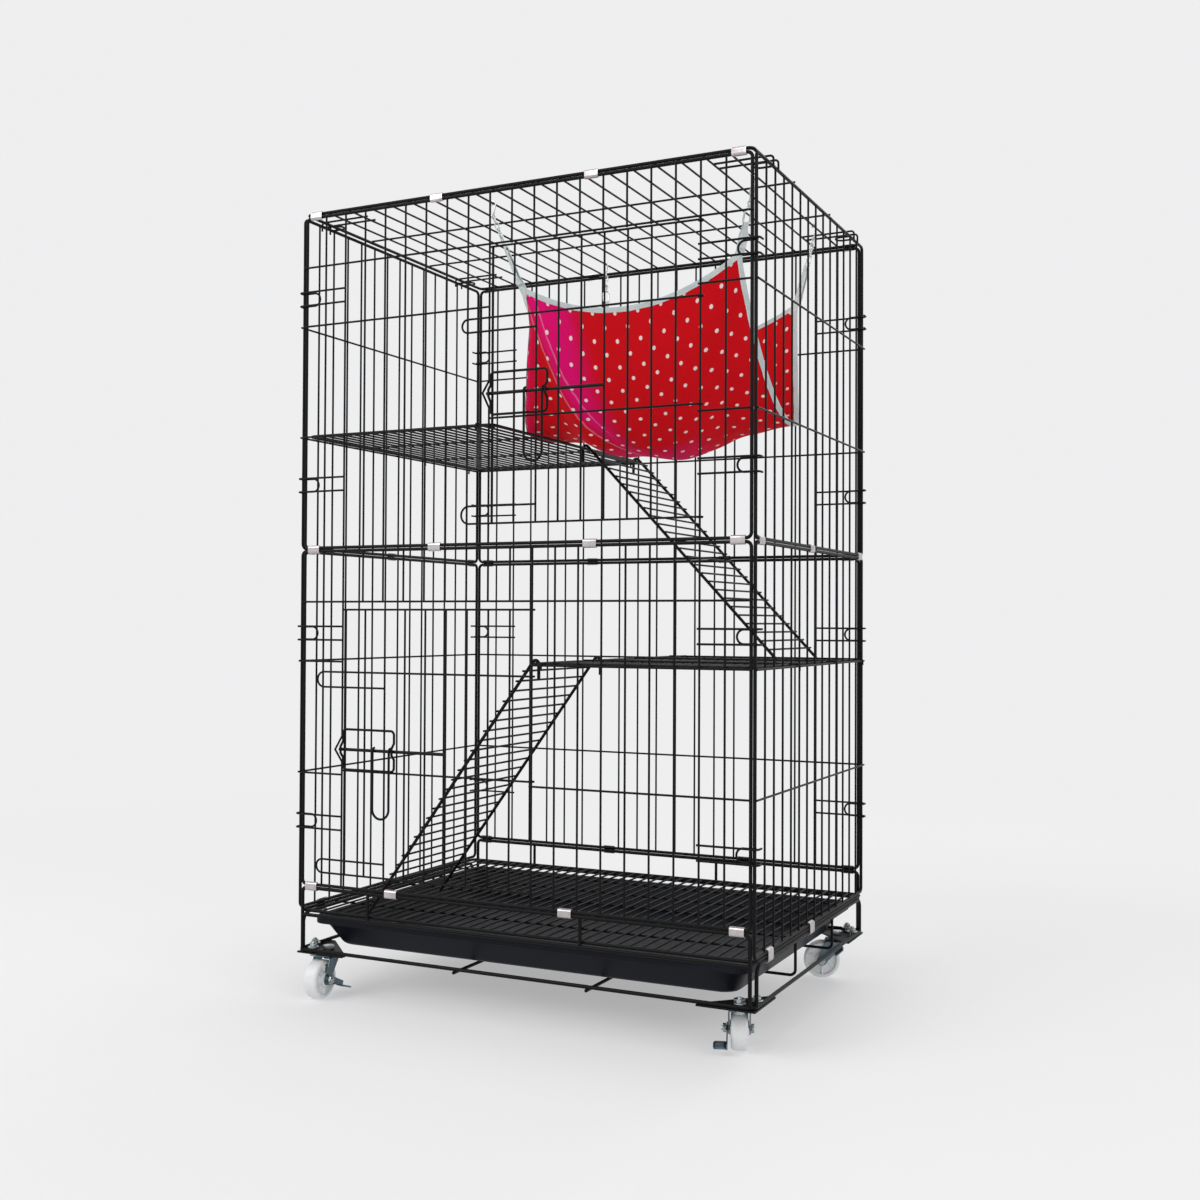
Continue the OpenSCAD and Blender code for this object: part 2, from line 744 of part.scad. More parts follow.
// Guide loop: its two sides bulge out round the bolt
module guide(z) {
  b = 5;
  out = bolt_y - bolt_r - bolt_gap - latch_r;
  for (s = [-1, 1]) translate([0, guide_y, z + s * guide_up])
    rod([guide_left + b, 0, 0], [guide_right - b, 0, 0], latch_r);
  for (x = [guide_left, guide_right])
    kinked([
      [x, guide_y, z - guide_up + b], [x, guide_y, z - 10], [x, out, z - 4],
      [x, out, z + 4], [x, guide_y, z + 10], [x, guide_y, z + guide_up - b]
    ], latch_r);
  for (s = [-1, 1]) {
    bend_xz([guide_left + b, guide_y, z + s * (guide_up - b)], b, s > 0 ? 90 : 180, 90, latch_r);
    bend_xz([guide_right - b, guide_y, z + s * (guide_up - b)], b, s > 0 ? 0 : 270, 90, latch_r);
  }
}

module upper_door() {
  color("#1b1b1d") translate([upper_hinge, hinge_y, upper_foot]) door(upper_rows, upper_latch);
}

module lower_door() {
  color("#1b1b1d") translate([lower_hinge, hinge_y, front_foot]) door(lower_rows, lower_latch);
}

// Latch bolt, drawn back so that its tip stands beside the keeper
module latch_bolt(z) {
  color("#1b1b1d") rod([bolt_tip, bolt_y, z], [bolt_tip + bolt_l, bolt_y, z], bolt_r);
}

module upper_latch_bolt() {
  translate([upper_hinge, hinge_y, upper_foot]) latch_bolt(upper_latch);
}

module lower_latch_bolt() {
  translate([lower_hinge, hinge_y, front_foot]) latch_bolt(lower_latch);
}

// Handle: a long wire loop whose ends bend over the bolt
module latch_handle(z) {
  half = handle_w / 2;
  y = bolt_y - handle_bend;
  color("#1b1b1d") {
    for (x = [handle_right - handle_w, handle_right]) {
      rod([x, y, z - handle_l + half], [x, y, z], latch_r);
      bend_yz([x, bolt_y, z], handle_bend, 90, 90, latch_r);
    }
    bend_xz([handle_right - half, y, z - handle_l + half], half, 180, 180, latch_r);
  }
}

module upper_latch_handle() {
  translate([upper_hinge, hinge_y, upper_foot]) latch_handle(upper_latch);
}

module lower_latch_handle() {
  translate([lower_hinge, hinge_y, front_foot]) latch_handle(lower_latch);
}

// Casters: [sign of x, sign of y, direction of trail, side of the lever, lever is on]
FL = [-1, -1, -86, 1, true];
FR = [1, -1, 110, 1, true];
BL = [-1, 1, 100, 1, false];
BR = [1, 1, 197, 1, false];
CORNERS = [FL, FR, BL, BR];

// Centre distance of the fork's outer faces, and of the axle bolt's head and nut
fork_in = wheel_w / 2 + 1.5;
fork_out = fork_in + fork_t;
lever_in = fork_out + seat;
lever_t = 1.5;

// Children at a caster's swivel axis, trail along +X, lever on the +Y side
module at_caster(c) {
  translate([c[0] * swivel_x, c[1] * swivel_y, 0]) rotate([0, 0, c[2]])
    mirror([0, (1 - c[3]) / 2, 0]) children();
}

module hexagon(r, h) {
  cylinder(r = r, h = h, $fn = 6);
}

// Sheet metal fork: crown with the kingpin's bore, and two legs down to the axle
module fork(c) {
  color("#9aa6a8") at_caster(c) {
    difference() {
      translate([0, 0, crown_z]) linear_extrude(crown_t) union() {
        circle(r = fork_out + 1.4, $fn = 48);
        translate([0, -fork_out]) square([15, 2 * fork_out]);
      }
      translate([0, 0, crown_z - 1]) cylinder(r = king_r + run_gap, h = crown_t + 2);
    }
    for (s = [-1, 1]) translate([0, (s + 1) / 2 * fork_t + s * fork_in, 0]) rotate([90, 0, 0])
      linear_extrude((s + 1) / 2 * fork_t + (1 - s) / 2 * fork_t) difference() {
        union() {
          polygon([
            [-8, crown_z + crown_t / 2], [15, crown_z + crown_t / 2],
            [trail + 7, wheel_r], [trail - 7, wheel_r]
          ]);
          translate([trail, wheel_r]) circle(r = 7);
        }
        translate([trail, wheel_r]) circle(r = axle_r + run_gap);
      }
  }
}

// Wheel on its axle, along Y
module wheel(c) {
  half = wheel_w / 2;
  hub = fork_in - seat;
  rim = wheel_r - 5;
  color("#eef0f0") at_caster(c) translate([trail, 0, wheel_r]) rotate([90, 0, 0])
    rotate_extrude($fn = 64) polygon([
      [axle_r + run_gap, -hub], [9, -hub], [9, -half + 3.5], [rim, -half + 3.5], [rim, -half],
      [wheel_r - 2, -half], [wheel_r, -half + 2.5], [wheel_r, half - 2.5], [wheel_r - 2, half],
      [rim, half], [rim, half - 3.5], [9, half - 3.5], [9, hub], [axle_r + run_gap, hub]
    ]);
}

// Axle bolt: head on one side, nut outside the lever on the other
module axle(c) {
  nut = lever_in + lever_t + seat;
  color("#b9bdc0") at_caster(c) translate([trail, 0, wheel_r]) rotate([-90, 0, 0]) {
    translate([0, 0, -fork_out - seat - 3.5]) hexagon(5.2, 3.5);
    translate([0, 0, -fork_out - seat - 0.5]) cylinder(r = axle_r, h = fork_out + seat + nut + 6);
    translate([0, 0, nut]) hexagon(5.2, 4);
  }
}

// Brake lever: arm beside the fork and a foot tab that stands out from it
module brake_lever(c) {
  turn = lever_off + (c[4] ? lever_turn : 0);
  color("#8fa0a3") at_caster(c) translate([trail, 0, wheel_r]) rotate([0, -turn, 0]) {
    translate([0, lever_in + lever_t, 0]) rotate([90, 0, 0]) linear_extrude(lever_t) difference() {
      union() {
        circle(r = 6.5);
        polygon([[0, -6.5], [lever_l, -3], [lever_l, 4.6], [0, 6.5]]);
      }
      circle(r = axle_r + 2 * run_gap);
    }
    translate([lever_l - 14, lever_in + lever_t / 2, 3]) cube([14, lever_tab, 1.6]);
  }
}

module corner_plate(c) {
  inner = [c[0] * swivel_x, c[1] * swivel_y];
  color("#1b1b1d") translate([0, 0, plate_z]) linear_extrude(plate_t) difference() {
    mirror([(1 - c[0]) / 2, 0]) mirror([0, (1 - c[1]) / 2]) translate([side_x + 2, wall_y + 2])
      polygon([[0, 0], [-plate_leg, 0], [-plate_leg, -8], [-8, -plate_leg], [0, -plate_leg]]);
    translate(inner) circle(r = king_r + run_gap);
    for (p = clamp_places()) translate([c[0] * p[0], c[1] * p[1]]) circle(r = clamp_r + 0.1);
  }
}

// Clamp bolts stand just inside the ring, one near the end rail and one near the side rail
function clamp_places() = [
  [side_x - 18, wall_y - ring_r - clamp_r - 0.5],
  [side_x - ring_r - clamp_r - 0.5, wall_y - 25]
];

module swivel_bearings() {
  color("#1b1b1d") for (c = CORNERS) at_caster(c) translate([0, 0, race_z]) difference() {
    cylinder(r = race_r, h = race_t, $fn = 48);
    translate([0, 0, -1]) cylinder(r = king_r + run_gap, h = race_t + 2);
  }
}

module kingpins() {
  top = plate_z + plate_t + seat + king_nut;
  color("#b9bdc0") for (c = CORNERS) at_caster(c) {
    translate([0, 0, crown_z - seat - 3.6]) hexagon(6.5, 3.6);
    translate([0, 0, crown_z - seat - 1]) cylinder(r = king_r, h = top - crown_z + seat + 1);
  }
}

module kingpin_nuts() {
  color("#c9cccd") for (c = CORNERS) at_caster(c) translate([0, 0, plate_z + plate_t + seat]) difference() {
    hexagon(7.4, king_nut);
    translate([0, 0, -1]) cylinder(r = king_r + run_gap, h = king_nut + 2);
  }
}

// Bolt, washer over the ring wire and nut, eight times
module clamp_bolts() {
  washer = ring_z + ring_r + seat;
  color("#d5d8d9") for (i = [-1, 1], j = [-1, 1], p = clamp_places()) translate([i * p[0], j * p[1], 0]) {
    translate([0, 0, plate_z - seat - 3]) hexagon(4.4, 3);
    translate([0, 0, plate_z - seat - 1]) cylinder(r = clamp_r, h = washer - plate_z + seat + 7);
    translate([0, 0, washer]) cylinder(r = 6.8, h = 1.2);
    translate([0, 0, washer + 1]) hexagon(4.6, 4);
  }
}

module corner_plate_fl() { corner_plate(FL); }
module corner_plate_fr() { corner_plate(FR); }
module corner_plate_bl() { corner_plate(BL); }
module corner_plate_br() { corner_plate(BR); }
module fork_fl() { fork(FL); }
module fork_fr() { fork(FR); }
module fork_bl() { fork(BL); }
module fork_br() { fork(BR); }
module wheel_fl() { wheel(FL); }
module wheel_fr() { wheel(FR); }
module wheel_bl() { wheel(BL); }
module wheel_br() { wheel(BR); }
module axle_fl() { axle(FL); }
module axle_fr() { axle(FR); }
module axle_bl() { axle(BL); }
module axle_br() { axle(BR); }
module brake_lever_fl() { brake_lever(FL); }
module brake_lever_fr() { brake_lever(FR); }
module brake_lever_bl() { brake_lever(BL); }
module brake_lever_br() { brake_lever(BR); }

// Hammock: the roof wires that its hangers hang on, the hangers' places and the cloth's corners
left_wire = -wall_w / 2 + 8 * wall_pitch;
right_wire = -wall_w / 2 + 19 * wall_pitch;
wire_z = roof_z + upright_out;
HANGERS = [[left_wire, -157], [right_wire, -130], [right_wire, 105], [left_wire, 165]];
// Tips of the cloth: distance in from the hanger's wire, place from front to back, drop below the roof
TIP_IN = [29, 29, 14, 10];
TIP_Y = [-130, -96, 80, 148];
TIP_DROP = [108, 86, 104, 109];
TIPS = [
  for (k = [0 : 3]) [
    k % 3 == 0 ? left_wire + TIP_IN[k] : right_wire - TIP_IN[k], TIP_Y[k], roof_z - TIP_DROP[k]
  ]
];
// Lowest points of the two side edges, the left one just over the upper shelf
low_z = upper_shelf_z + 2 * upright_out + infill_r + cloth_lift + cloth_t / 2;
LOWS = [[-shelf_edge - 20, -75, low_z], [right_wire - 6, 55, low_z + cloth_rise]];

// Side edge k from its front tip over its lowest point to its back tip, as v goes from 0 to 1
function side_edge(k, v) = let(
  low_at = [0.42, 0.55][k],
  front = v < low_at,
  t = abs(v - low_at) / (front ? low_at : 1 - low_at),
  d = TIPS[front ? k : 3 - k] - LOWS[k],
  out = 1.35 * t - 0.35 * t * t
) LOWS[k] + [d[0] * out, d[1] * out, d[2] * pow(t, 1.65)];

// Position on the cloth: u runs from the left edge to the right one and v from front to back
function cloth_at(u, v) = side_edge(0, v) * (1 - u) + side_edge(1, v) * u
  - [0, 0, sag(u, v)] - fold(u, v) * [0, cos(180 * v), sin(180 * v)];
// Sag across the cloth, a round arch at its front and back hems and steeper sided at the belly
function sag(u, v) = hem_sag * pow(4 * u * (1 - u), 1 + sin(180 * v));

// Creases run down from the four tips and fade out past the belly
function ridge(d, width) = exp(-d * d / (width * width));
function creases(u, v) = let(s = sqrt(v / 0.42))
  ridge(u - 0.29 * s, 0.05) - 0.7 * ridge(u - 0.17 * s, 0.05) + 0.5 * ridge(u - 0.5 * s, 0.07)
  - 0.6 * ridge(1 - u - 0.22 * s, 0.06) + 0.5 * ridge(1 - u - 0.42 * s, 0.08);
function fade(v) = sin(180 * pow(min(1, v / 0.62), 0.6));
function fold(u, v) = fold_h * min(1, 12 * u * (1 - u))
  * (creases(u, v) * fade(v) + creases(u, 1 - v) * fade(1 - v));
CU = 17;
CV = 28;
function cloth_normal(u, v) = let(
  e = 0.004,
  a = cloth_at(min(1, u + e), v) - cloth_at(max(0, u - e), v),
  b = cloth_at(u, min(1, v + e)) - cloth_at(u, max(0, v - e)),
  n = cross(a, b)
) n / norm(n);
function cloth_side(s) = [
  for (j = [0 : CV], i = [0 : CU])
    cloth_at(i / CU, j / CV) + s * cloth_t / 2 * cloth_normal(i / CU, j / CV)
];
function cell(i, j) = j * (CU + 1) + i;

// Cloth: two skins a cloth's thickness apart, closed along the four edges
module hammock_cloth() {
  n = (CU + 1) * (CV + 1);
  upper = [
    for (j = [0 : CV - 1], i = [0 : CU - 1]) each [
      [cell(i, j), cell(i, j + 1), cell(i + 1, j + 1)],
      [cell(i, j), cell(i + 1, j + 1), cell(i + 1, j)]
    ]
  ];
  lower = [for (f = upper) [f[0] + n, f[2] + n, f[1] + n]];
  border = concat(
    [for (i = [0 : CU - 1]) [cell(i, 0), cell(i + 1, 0)]],
    [for (j = [0 : CV - 1]) [cell(CU, j), cell(CU, j + 1)]],
    [for (i = [0 : CU - 1]) [cell(CU - i, CV), cell(CU - i - 1, CV)]],
    [for (j = [0 : CV - 1]) [cell(0, CV - j), cell(0, CV - j - 1)]]
  );
  edge = [for (b = border) each [[b[0], b[1], b[1] + n], [b[0], b[1] + n, b[0] + n]]];
  skins = concat(cloth_side(1), cloth_side(-1));
  color("#d3121f") polyhedron(points = skins, faces = concat(upper, lower, edge));
}

// A hanger's line runs from its roof hook's eye down to the cloth's tip
eye_r = link_r - link_wire;
eye_drop = hanger_drop + link_r;
link_half = link_l / 2 + eye_r;
link_bite = 2 * link_wire + hang_gap;
link_first = eye_r - link_bite + link_half;
link_step = 2 * link_half - link_bite;
snap_ring = link_first + (link_count - 1) * link_step + link_half - link_bite + eye_r;
function eye_of(k) = [HANGERS[k][0], HANGERS[k][1], wire_z - eye_drop];
function line_of(k) = eye_of(k) - TIPS[k];
function strap_of(k) = norm(line_of(k)) - snap_ring - eye_r - snap_l - hang_gap;

// Children on a hanger's line, +Z from the cloth's tip towards the roof
module on_line(k) {
  v = line_of(k);
  translate(TIPS[k]) rotate([0, acos(v[2] / norm(v)), atan2(v[1], v[0])]) children();
}

module hammock_straps() {
  color("#cdd6d6") for (k = [0 : 3]) on_line(k)
    translate([-strap_t / 2, -strap_w / 2, strap_gap]) cube([strap_t, strap_w, strap_of(k) - strap_gap]);
}

// Snap hook: a long wire loop with a barrel and a ring at its chain end
module hammock_snaps() {
  r = 1.3;
  half = 4;
  color("#c4cdce") for (k = [0 : 3]) on_line(k) translate([0, 0, strap_of(k) + hang_gap]) {
    for (s = [-1, 1]) rod([0, s * half, r + half], [0, s * half, snap_l - 9], r);
    bend_yz([0, 0, r + half], half, 180, 180, r);
    bend_yz([0, 0, snap_l - 9], half, 0, 180, r);
    translate([0, 0, snap_l - 6]) cylinder(r = 2.4, h = 6);
    translate([0, 0, snap_l + eye_r]) rotate([0, 90, link_count % 2 * 90]) eye();
  }
}

module hammock_chains() {
  color("#c4cdce") for (k = [0 : 3]) on_line(k)
    for (i = [0 : link_count - 1])
      translate([0, 0, norm(line_of(k)) - link_first - i * link_step]) rotate([0, 0, i % 2 * 90]) link();
}

// Roof hook: bent over the roof wire, with a round eye at its foot that stands square to the top link
module hammock_hooks() {
  r = infill_r + hang_gap + link_wire;
  color("#c4cdce") for (k = [0 : 3]) translate([HANGERS[k][0], HANGERS[k][1], wire_z]) {
    bend_xz([0, 0, 0], r, 0, 215, link_wire);
    kinked([[r, 0, 0], [r, 0, -5], [0, 0, -hanger_drop - link_wire / 2]], link_wire);
    translate([0, 0, -eye_drop]) rotate([90, 0, atan2(line_of(k)[1], line_of(k)[0])]) eye();
  }
}

// Round eye of wire about Z
module eye() {
  rotate_extrude() translate([eye_r, 0]) circle(r = link_wire, $fn = 13);
}

// Oval chain link, its long side along Z, in the plane that faces X
module link() {
  for (s = [-1, 1]) rod([0, s * eye_r, -link_l / 2], [0, s * eye_r, link_l / 2], link_wire);
  bend_yz([0, 0, link_l / 2], eye_r, 0, 180, link_wire);
  bend_yz([0, 0, -link_l / 2], eye_r, 180, 180, link_wire);
}

// Clip: a C of sheet metal round wires at heights z0 and z1, its back facing -Y, centred on x = 0
module clip(z0, z1, r) {
  inner = r + stack_gap;
  outer = inner + clip_t;
  translate([-clip_l / 2, 0, 0]) rotate([90, 0, 90]) linear_extrude(clip_l) difference() {
    stadium(z0, z1, outer);
    stadium(z0, z1, inner);
    translate([0.6, z0 - 9]) square([9, z1 - z0 + 18]);
  }
}

module stadium(z0, z1, r) {
  for (z = [z0, z1]) translate([0, z]) circle(r = r);
  translate([-r, z0]) square([2 * r, z1 - z0]);
}

// Middle of the n-th gap of a wall, and of a side
function gap_x(n) = -wall_w / 2 + (n + 0.5) * wall_pitch;
function gap_y(n) = -side_w / 2 + (n + 0.5) * side_pitch;

// Gaps of the front and back walls that hold a clip at the roof and between the storeys
CLIP_GAPS = [0, 6, 13, wall_gaps - 1];

// Clips on the front (s = -1) or back (s = 1), and on both sides
module end_clips(s, gaps, z0, z1, r) {
  for (n = gaps) mirror([0, (s + 1) / 2, 0]) translate([gap_x(n), -wall_y, 0]) clip(z0, z1, r);
}

module side_clips(gaps, z0, z1, r) {
  for (m = [0, 1], n = gaps) mirror([m, 0, 0])
    translate([side_x, gap_y(n), 0]) rotate([0, 0, 90]) clip(z0, z1, r);
}

module roof_clips() {
  color("#dfe3e4") for (s = [-1, 1]) end_clips(s, CLIP_GAPS, upper_top, roof_z, frame_r);
}

module junction_clips() {
  color("#dfe3e4") {
    for (s = [-1, 1]) end_clips(s, CLIP_GAPS, lower_top, upper_foot, frame_r);
    side_clips([0, 6, side_gaps - 1], lower_top, upper_foot, frame_r);
  }
}

module base_clips() {
  color("#dfe3e4") {
    end_clips(-1, [0, 4, 12, wall_gaps - 1], raised_z, front_foot, ring_r);
    end_clips(1, [0, 7, 14, wall_gaps - 1], raised_z, front_foot, ring_r);
    side_clips([1, 6], rail_z, side_foot, ring_r);
  }
}

base_frame();
tray_support_front();
tray_support_rear();
base_cross_left();
base_cross_right();
floor_grid();
tray();
corner_plate_fl();
corner_plate_fr();
corner_plate_bl();
corner_plate_br();
swivel_bearings();
kingpins();
kingpin_nuts();
clamp_bolts();
fork_fl();
fork_fr();
fork_bl();
fork_br();
wheel_fl();
wheel_fr();
wheel_bl();
wheel_br();
axle_fl();
axle_fr();
axle_bl();
axle_br();
brake_lever_fl();
brake_lever_fr();
brake_lever_bl();
brake_lever_br();
lower_front_wall();
lower_back_wall();
lower_left_wall();
lower_right_wall();
upper_front_wall();
upper_back_wall();
upper_left_wall();
upper_right_wall();
roof();
lower_shelf();
upper_shelf();
lower_ladder();
upper_ladder();
lower_door();
upper_door();
lower_latch_bolt();
upper_latch_bolt();
lower_latch_handle();
upper_latch_handle();
hammock_cloth();
hammock_straps();
hammock_snaps();
hammock_chains();
hammock_hooks();
roof_clips();
junction_clips();
base_clips();
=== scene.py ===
import bmesh
import bpy
import numpy as np
from mathutils import Matrix


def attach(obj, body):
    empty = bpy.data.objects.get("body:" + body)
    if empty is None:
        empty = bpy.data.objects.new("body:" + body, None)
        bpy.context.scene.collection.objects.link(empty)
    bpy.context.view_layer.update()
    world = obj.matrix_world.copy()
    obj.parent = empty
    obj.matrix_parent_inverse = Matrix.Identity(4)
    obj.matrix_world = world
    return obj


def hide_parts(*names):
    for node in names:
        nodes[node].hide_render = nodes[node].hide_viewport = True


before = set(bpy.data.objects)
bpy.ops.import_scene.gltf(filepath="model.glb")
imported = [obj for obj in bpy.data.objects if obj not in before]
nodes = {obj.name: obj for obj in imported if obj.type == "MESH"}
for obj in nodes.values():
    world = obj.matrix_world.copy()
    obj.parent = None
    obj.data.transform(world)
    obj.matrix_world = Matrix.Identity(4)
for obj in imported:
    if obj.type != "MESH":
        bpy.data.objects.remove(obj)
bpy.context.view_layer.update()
scene = bpy.context.scene

# Studio: a pale floor that fades into a pale surround, one large soft lamp from the
# left, a weaker one from the right and one from behind. The camera stands to the
# right of the cage's front at a cat's eye height.


class Level:
    """One socket of a material's node tree. Arithmetic on it adds Math nodes."""

    def __init__(self, finish, socket):
        self.finish, self.socket = finish, socket


OPERATORS = {"add": "ADD", "sub": "SUBTRACT", "mul": "MULTIPLY", "truediv": "DIVIDE", "pow": "POWER"}
for sign, operation in OPERATORS.items():
    setattr(Level, f"__{sign}__", lambda a, b, kind=operation: a.finish.math(kind, a, b))
    setattr(Level, f"__r{sign}__", lambda a, b, kind=operation: a.finish.math(kind, b, a))


class Finish:
    """A node tree with its shader; node() adds any node, and the rest are short forms of it."""

    def __init__(self, name, kind="BsdfPrincipled", owner=None):
        if owner is None:
            owner = bpy.data.materials.new(name)
        self.material, self.place = owner, None
        owner.use_nodes = True
        self.tree = owner.node_tree
        self.tree.nodes.clear()
        world = isinstance(owner, bpy.types.World)
        end = self.tree.nodes.new("ShaderNodeOutput" + ("World" if world else "Material"))
        self.shader = self.tree.nodes.new("ShaderNode" + kind)
        self.tree.links.new(self.shader.outputs[0], end.inputs["Surface"])

    def put(self, socket, value):
        """Links a Level to a socket or sets its value; a colour is red, green and blue."""
        if isinstance(value, Level):
            self.tree.links.new(value.socket, socket)
        elif value is not None:
            socket.default_value = (*value, 1) if socket.type == "RGBA" else value

    def node(self, kind, settings=None, values=None, out=0):
        """Adds a shader node by the rest of its type's name."""
        made = self.tree.nodes.new("ShaderNode" + kind)
        for name, value in (settings or {}).items():
            setattr(made, name, value)
        for name, value in (values or {}).items():
            self.put(made.inputs[name], value)
        return Level(self, made.outputs[out])

    def math(self, operation, a, b=None):
        return self.node("Math", {"operation": operation}, {0: a, 1: b})

    def step(self, value, low, high):
        """0 up to low, 1 from high on and smooth between them; high may be the lesser of the two."""
        return self.node("MapRange", {"interpolation_type": "SMOOTHSTEP"},
                         {"Value": value, "From Min": low, "From Max": high})

    def blend(self, a, b, amount):
        """Colour a where amount is 0 and colour b where it is 1."""
        return self.node("Mix", {"data_type": "RGBA"}, {0: amount, 6: a, 7: b}, out=2)

    def here(self):
        """Places in the piece's own coordinates, from one node."""
        if self.place is None:
            self.place = self.node("TexCoord", out="Object")
        return self.place

    def parts(self, vector):
        """The three components of a vector."""
        first = self.node("SeparateXYZ", None, {0: vector})
        return [Level(self, output) for output in first.socket.node.outputs]

    def unrolled(self):
        """The cloth's own map in metres, and its two components: across and along."""
        uv = self.node("UVMap", {"uv_map": "cut"})
        return uv, *self.parts(uv)[:2]

    def noise(self, scale, detail=3.0, rough=0.5, at=None):
        return self.node("TexNoise", None, {
            "Vector": at or self.here(), "Scale": scale, "Detail": detail, "Roughness": rough}, out=0)

    def patches(self, low, high, *noise, at=None):
        """Patches with soft edges: noise that counts from low and is full from high on."""
        return self.step(self.noise(*noise, at=at), low, high)

    def size(self, value):
        """The value without its sign."""
        return self.math("ABSOLUTE", value)

    def near(self, value, outer, inner):
        """1 where the value is no further than inner from 0, and smoothly down to 0 at outer."""
        return self.step(self.size(value), outer, inner)

    def bump(self, height, distance, strength, under=None):
        return self.node("Bump", None,
                         {"Height": height, "Distance": distance, "Strength": strength, "Normal": under})

    def set(self, **values):
        """Values for the shader's sockets, with _ for a space in a socket's name. Returns the material."""
        for name, value in values.items():
            self.put(self.shader.inputs[name.replace("_", " ")], value)
        return self.material


PALE = (0.86, 0.86, 0.87)
SURROUND = 1.0  # strength of the surround as the camera and reflections see it
LIGHT_FROM_ALL_ROUND = 0.62

world = bpy.data.worlds.new("surround")
scene.world = world
air = Finish("surround", "MixShader", owner=world)
seen = [air.node("LightPath", out=name)
        for name in ("Is Camera Ray", "Is Glossy Ray", "Is Transmission Ray")]
air.put(air.shader.inputs[0], air.math("MAXIMUM", air.math("MAXIMUM", seen[0], seen[1]), seen[2]))
for number, colour, strength in ((1, (1, 1, 1), LIGHT_FROM_ALL_ROUND), (2, PALE, SURROUND)):
    air.put(air.shader.inputs[number], air.node("Background", None, {0: colour, 1: strength}))


def add_mesh(name, points, faces):
    """Makes a mesh object from an (n, 3) array of points and an (m, 4) array of corners."""
    mesh = bpy.data.meshes.new(name)
    mesh.from_pydata(np.asarray(points, float).reshape(-1, 3).tolist(), [], np.asarray(faces).tolist())
    mesh.validate()
    mesh.polygons.foreach_set("use_smooth", np.ones(len(mesh.polygons), bool))
    made = bpy.data.objects.new(name, mesh)
    scene.collection.objects.link(made)
    return made


def grid_faces(rows, columns, loop_rows=False, loop_columns=False, first=0):
    """Corners of the quads between neighbours on a grid; a loop joins its last line to its first."""
    index = first + np.arange(rows * columns).reshape(rows, columns)
    if loop_rows:
        index = np.vstack([index, index[:1]])
    if loop_columns:
        index = np.hstack([index, index[:, :1]])
    return np.stack([index[:-1, :-1], index[:-1, 1:], index[1:, 1:], index[1:, :-1]], -1).reshape(-1, 4)


def unit(vectors):
    """Vectors over their lengths."""
    return vectors / np.linalg.norm(vectors, axis=-1, keepdims=True)


def smooth(part):
    """3 p^2 - 2 p^3, which leaves 0 and reaches 1 level."""
    return part * part * (3 - 2 * part)


def once_round(sides):
    """Angles of the corners of a polygon."""
    return np.arange(sides) * 2 * np.pi / sides


def enter(made, body, stands_for, material):
    """Gives a piece its material, hides the node that it stands for and attaches the piece to its body."""
    made.data.materials.append(material)
    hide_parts(stands_for)
    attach(made, body)


# Floor: rings of points round the origin, their radii growing outwards
radius, angle = np.meshgrid(np.linspace(0.0, 1.0, 24) ** 2 * 14 + 0.001, np.linspace(0, 2 * np.pi, 97)[:-1])
floor = add_mesh("studio_floor", np.stack([radius * np.cos(angle), radius * np.sin(angle), 0 * angle], -1),
                 grid_faces(96, 24, loop_rows=True)[:, ::-1])
floor_finish = Finish("studio_floor", "MixShader")
floor_grain = floor_finish.noise(3.0)
floor_paint = floor_finish.node("BsdfDiffuse", None, {
    0: floor_finish.blend((0.84, 0.84, 0.85), (0.87, 0.87, 0.875), floor_grain)})
floor_far = floor_finish.node("VectorMath", {"operation": "LENGTH"}, {0: floor_finish.here()}, out="Value")
floor_finish.put(floor_finish.shader.inputs[0], floor_finish.step(floor_far, 0.75, 2.3) * 0.55 + 0.45)
floor_glow = floor_finish.node("Emission", None, {0: PALE, 1: SURROUND})
floor_finish.put(floor_finish.shader.inputs[1], floor_paint)
floor_finish.put(floor_finish.shader.inputs[2], floor_glow)
floor.data.materials.append(floor_finish.material)


def lamp(name, place, aim, size, watts):
    """Square area lamp at a place, facing its aim."""
    light = bpy.data.lights.new(name, "AREA")
    light.size, light.energy, light.color = size, watts, (1, 1, 1)
    made = bpy.data.objects.new(name, light)
    back = unit(np.array(place, float) - aim)
    side = unit(np.cross((0, 0, 1), back))
    turn = np.eye(4)
    turn[:3, :3] = np.column_stack([side, np.cross(back, side), back])
    turn[:3, 3] = place
    made.matrix_world = Matrix(turn.tolist())
    scene.collection.objects.link(made)


lamp("key_lamp", (-1.9, -2.9, 2.9), (0, 0, 0.5), 2.4, 78)
lamp("fill_lamp", (3.2, -1.6, 2.0), (0, 0, 0.5), 2.4, 30)
lamp("back_lamp", (0.6, 3.2, 3.0), (0, 0, 0.6), 2.4, 45)

yaw, pitch, roll = np.radians([-25.96, 0.933, 0.261])
ahead = np.array([np.sin(yaw) * np.cos(pitch), np.cos(yaw) * np.cos(pitch), np.sin(pitch)])
right = np.array([np.cos(yaw), -np.sin(yaw), 0])
above = np.cross(right, ahead)
view = np.eye(4)
view[:3, 0] = np.cos(roll) * right + np.sin(roll) * above
view[:3, 1] = np.cos(roll) * above - np.sin(roll) * right
view[:3, 2] = -ahead
view[:3, 3] = (0.8086, -1.634, 0.4755)
camera_data = bpy.data.cameras.new("camera")
camera_data.sensor_width, camera_data.sensor_fit, camera_data.lens = 36, "HORIZONTAL", 41.514
camera_data.clip_start = 0.02
camera = bpy.data.objects.new("camera", camera_data)
camera.matrix_world = Matrix(view.tolist())
scene.collection.objects.link(camera)
scene.camera = camera
scene.view_settings.view_transform = "Standard"

# Base frame: 4.5 mm mild steel wire bent into a ring and four hoops, spot welded and
# dipped in black powder coat. Every black wire piece of the cage has this finish.


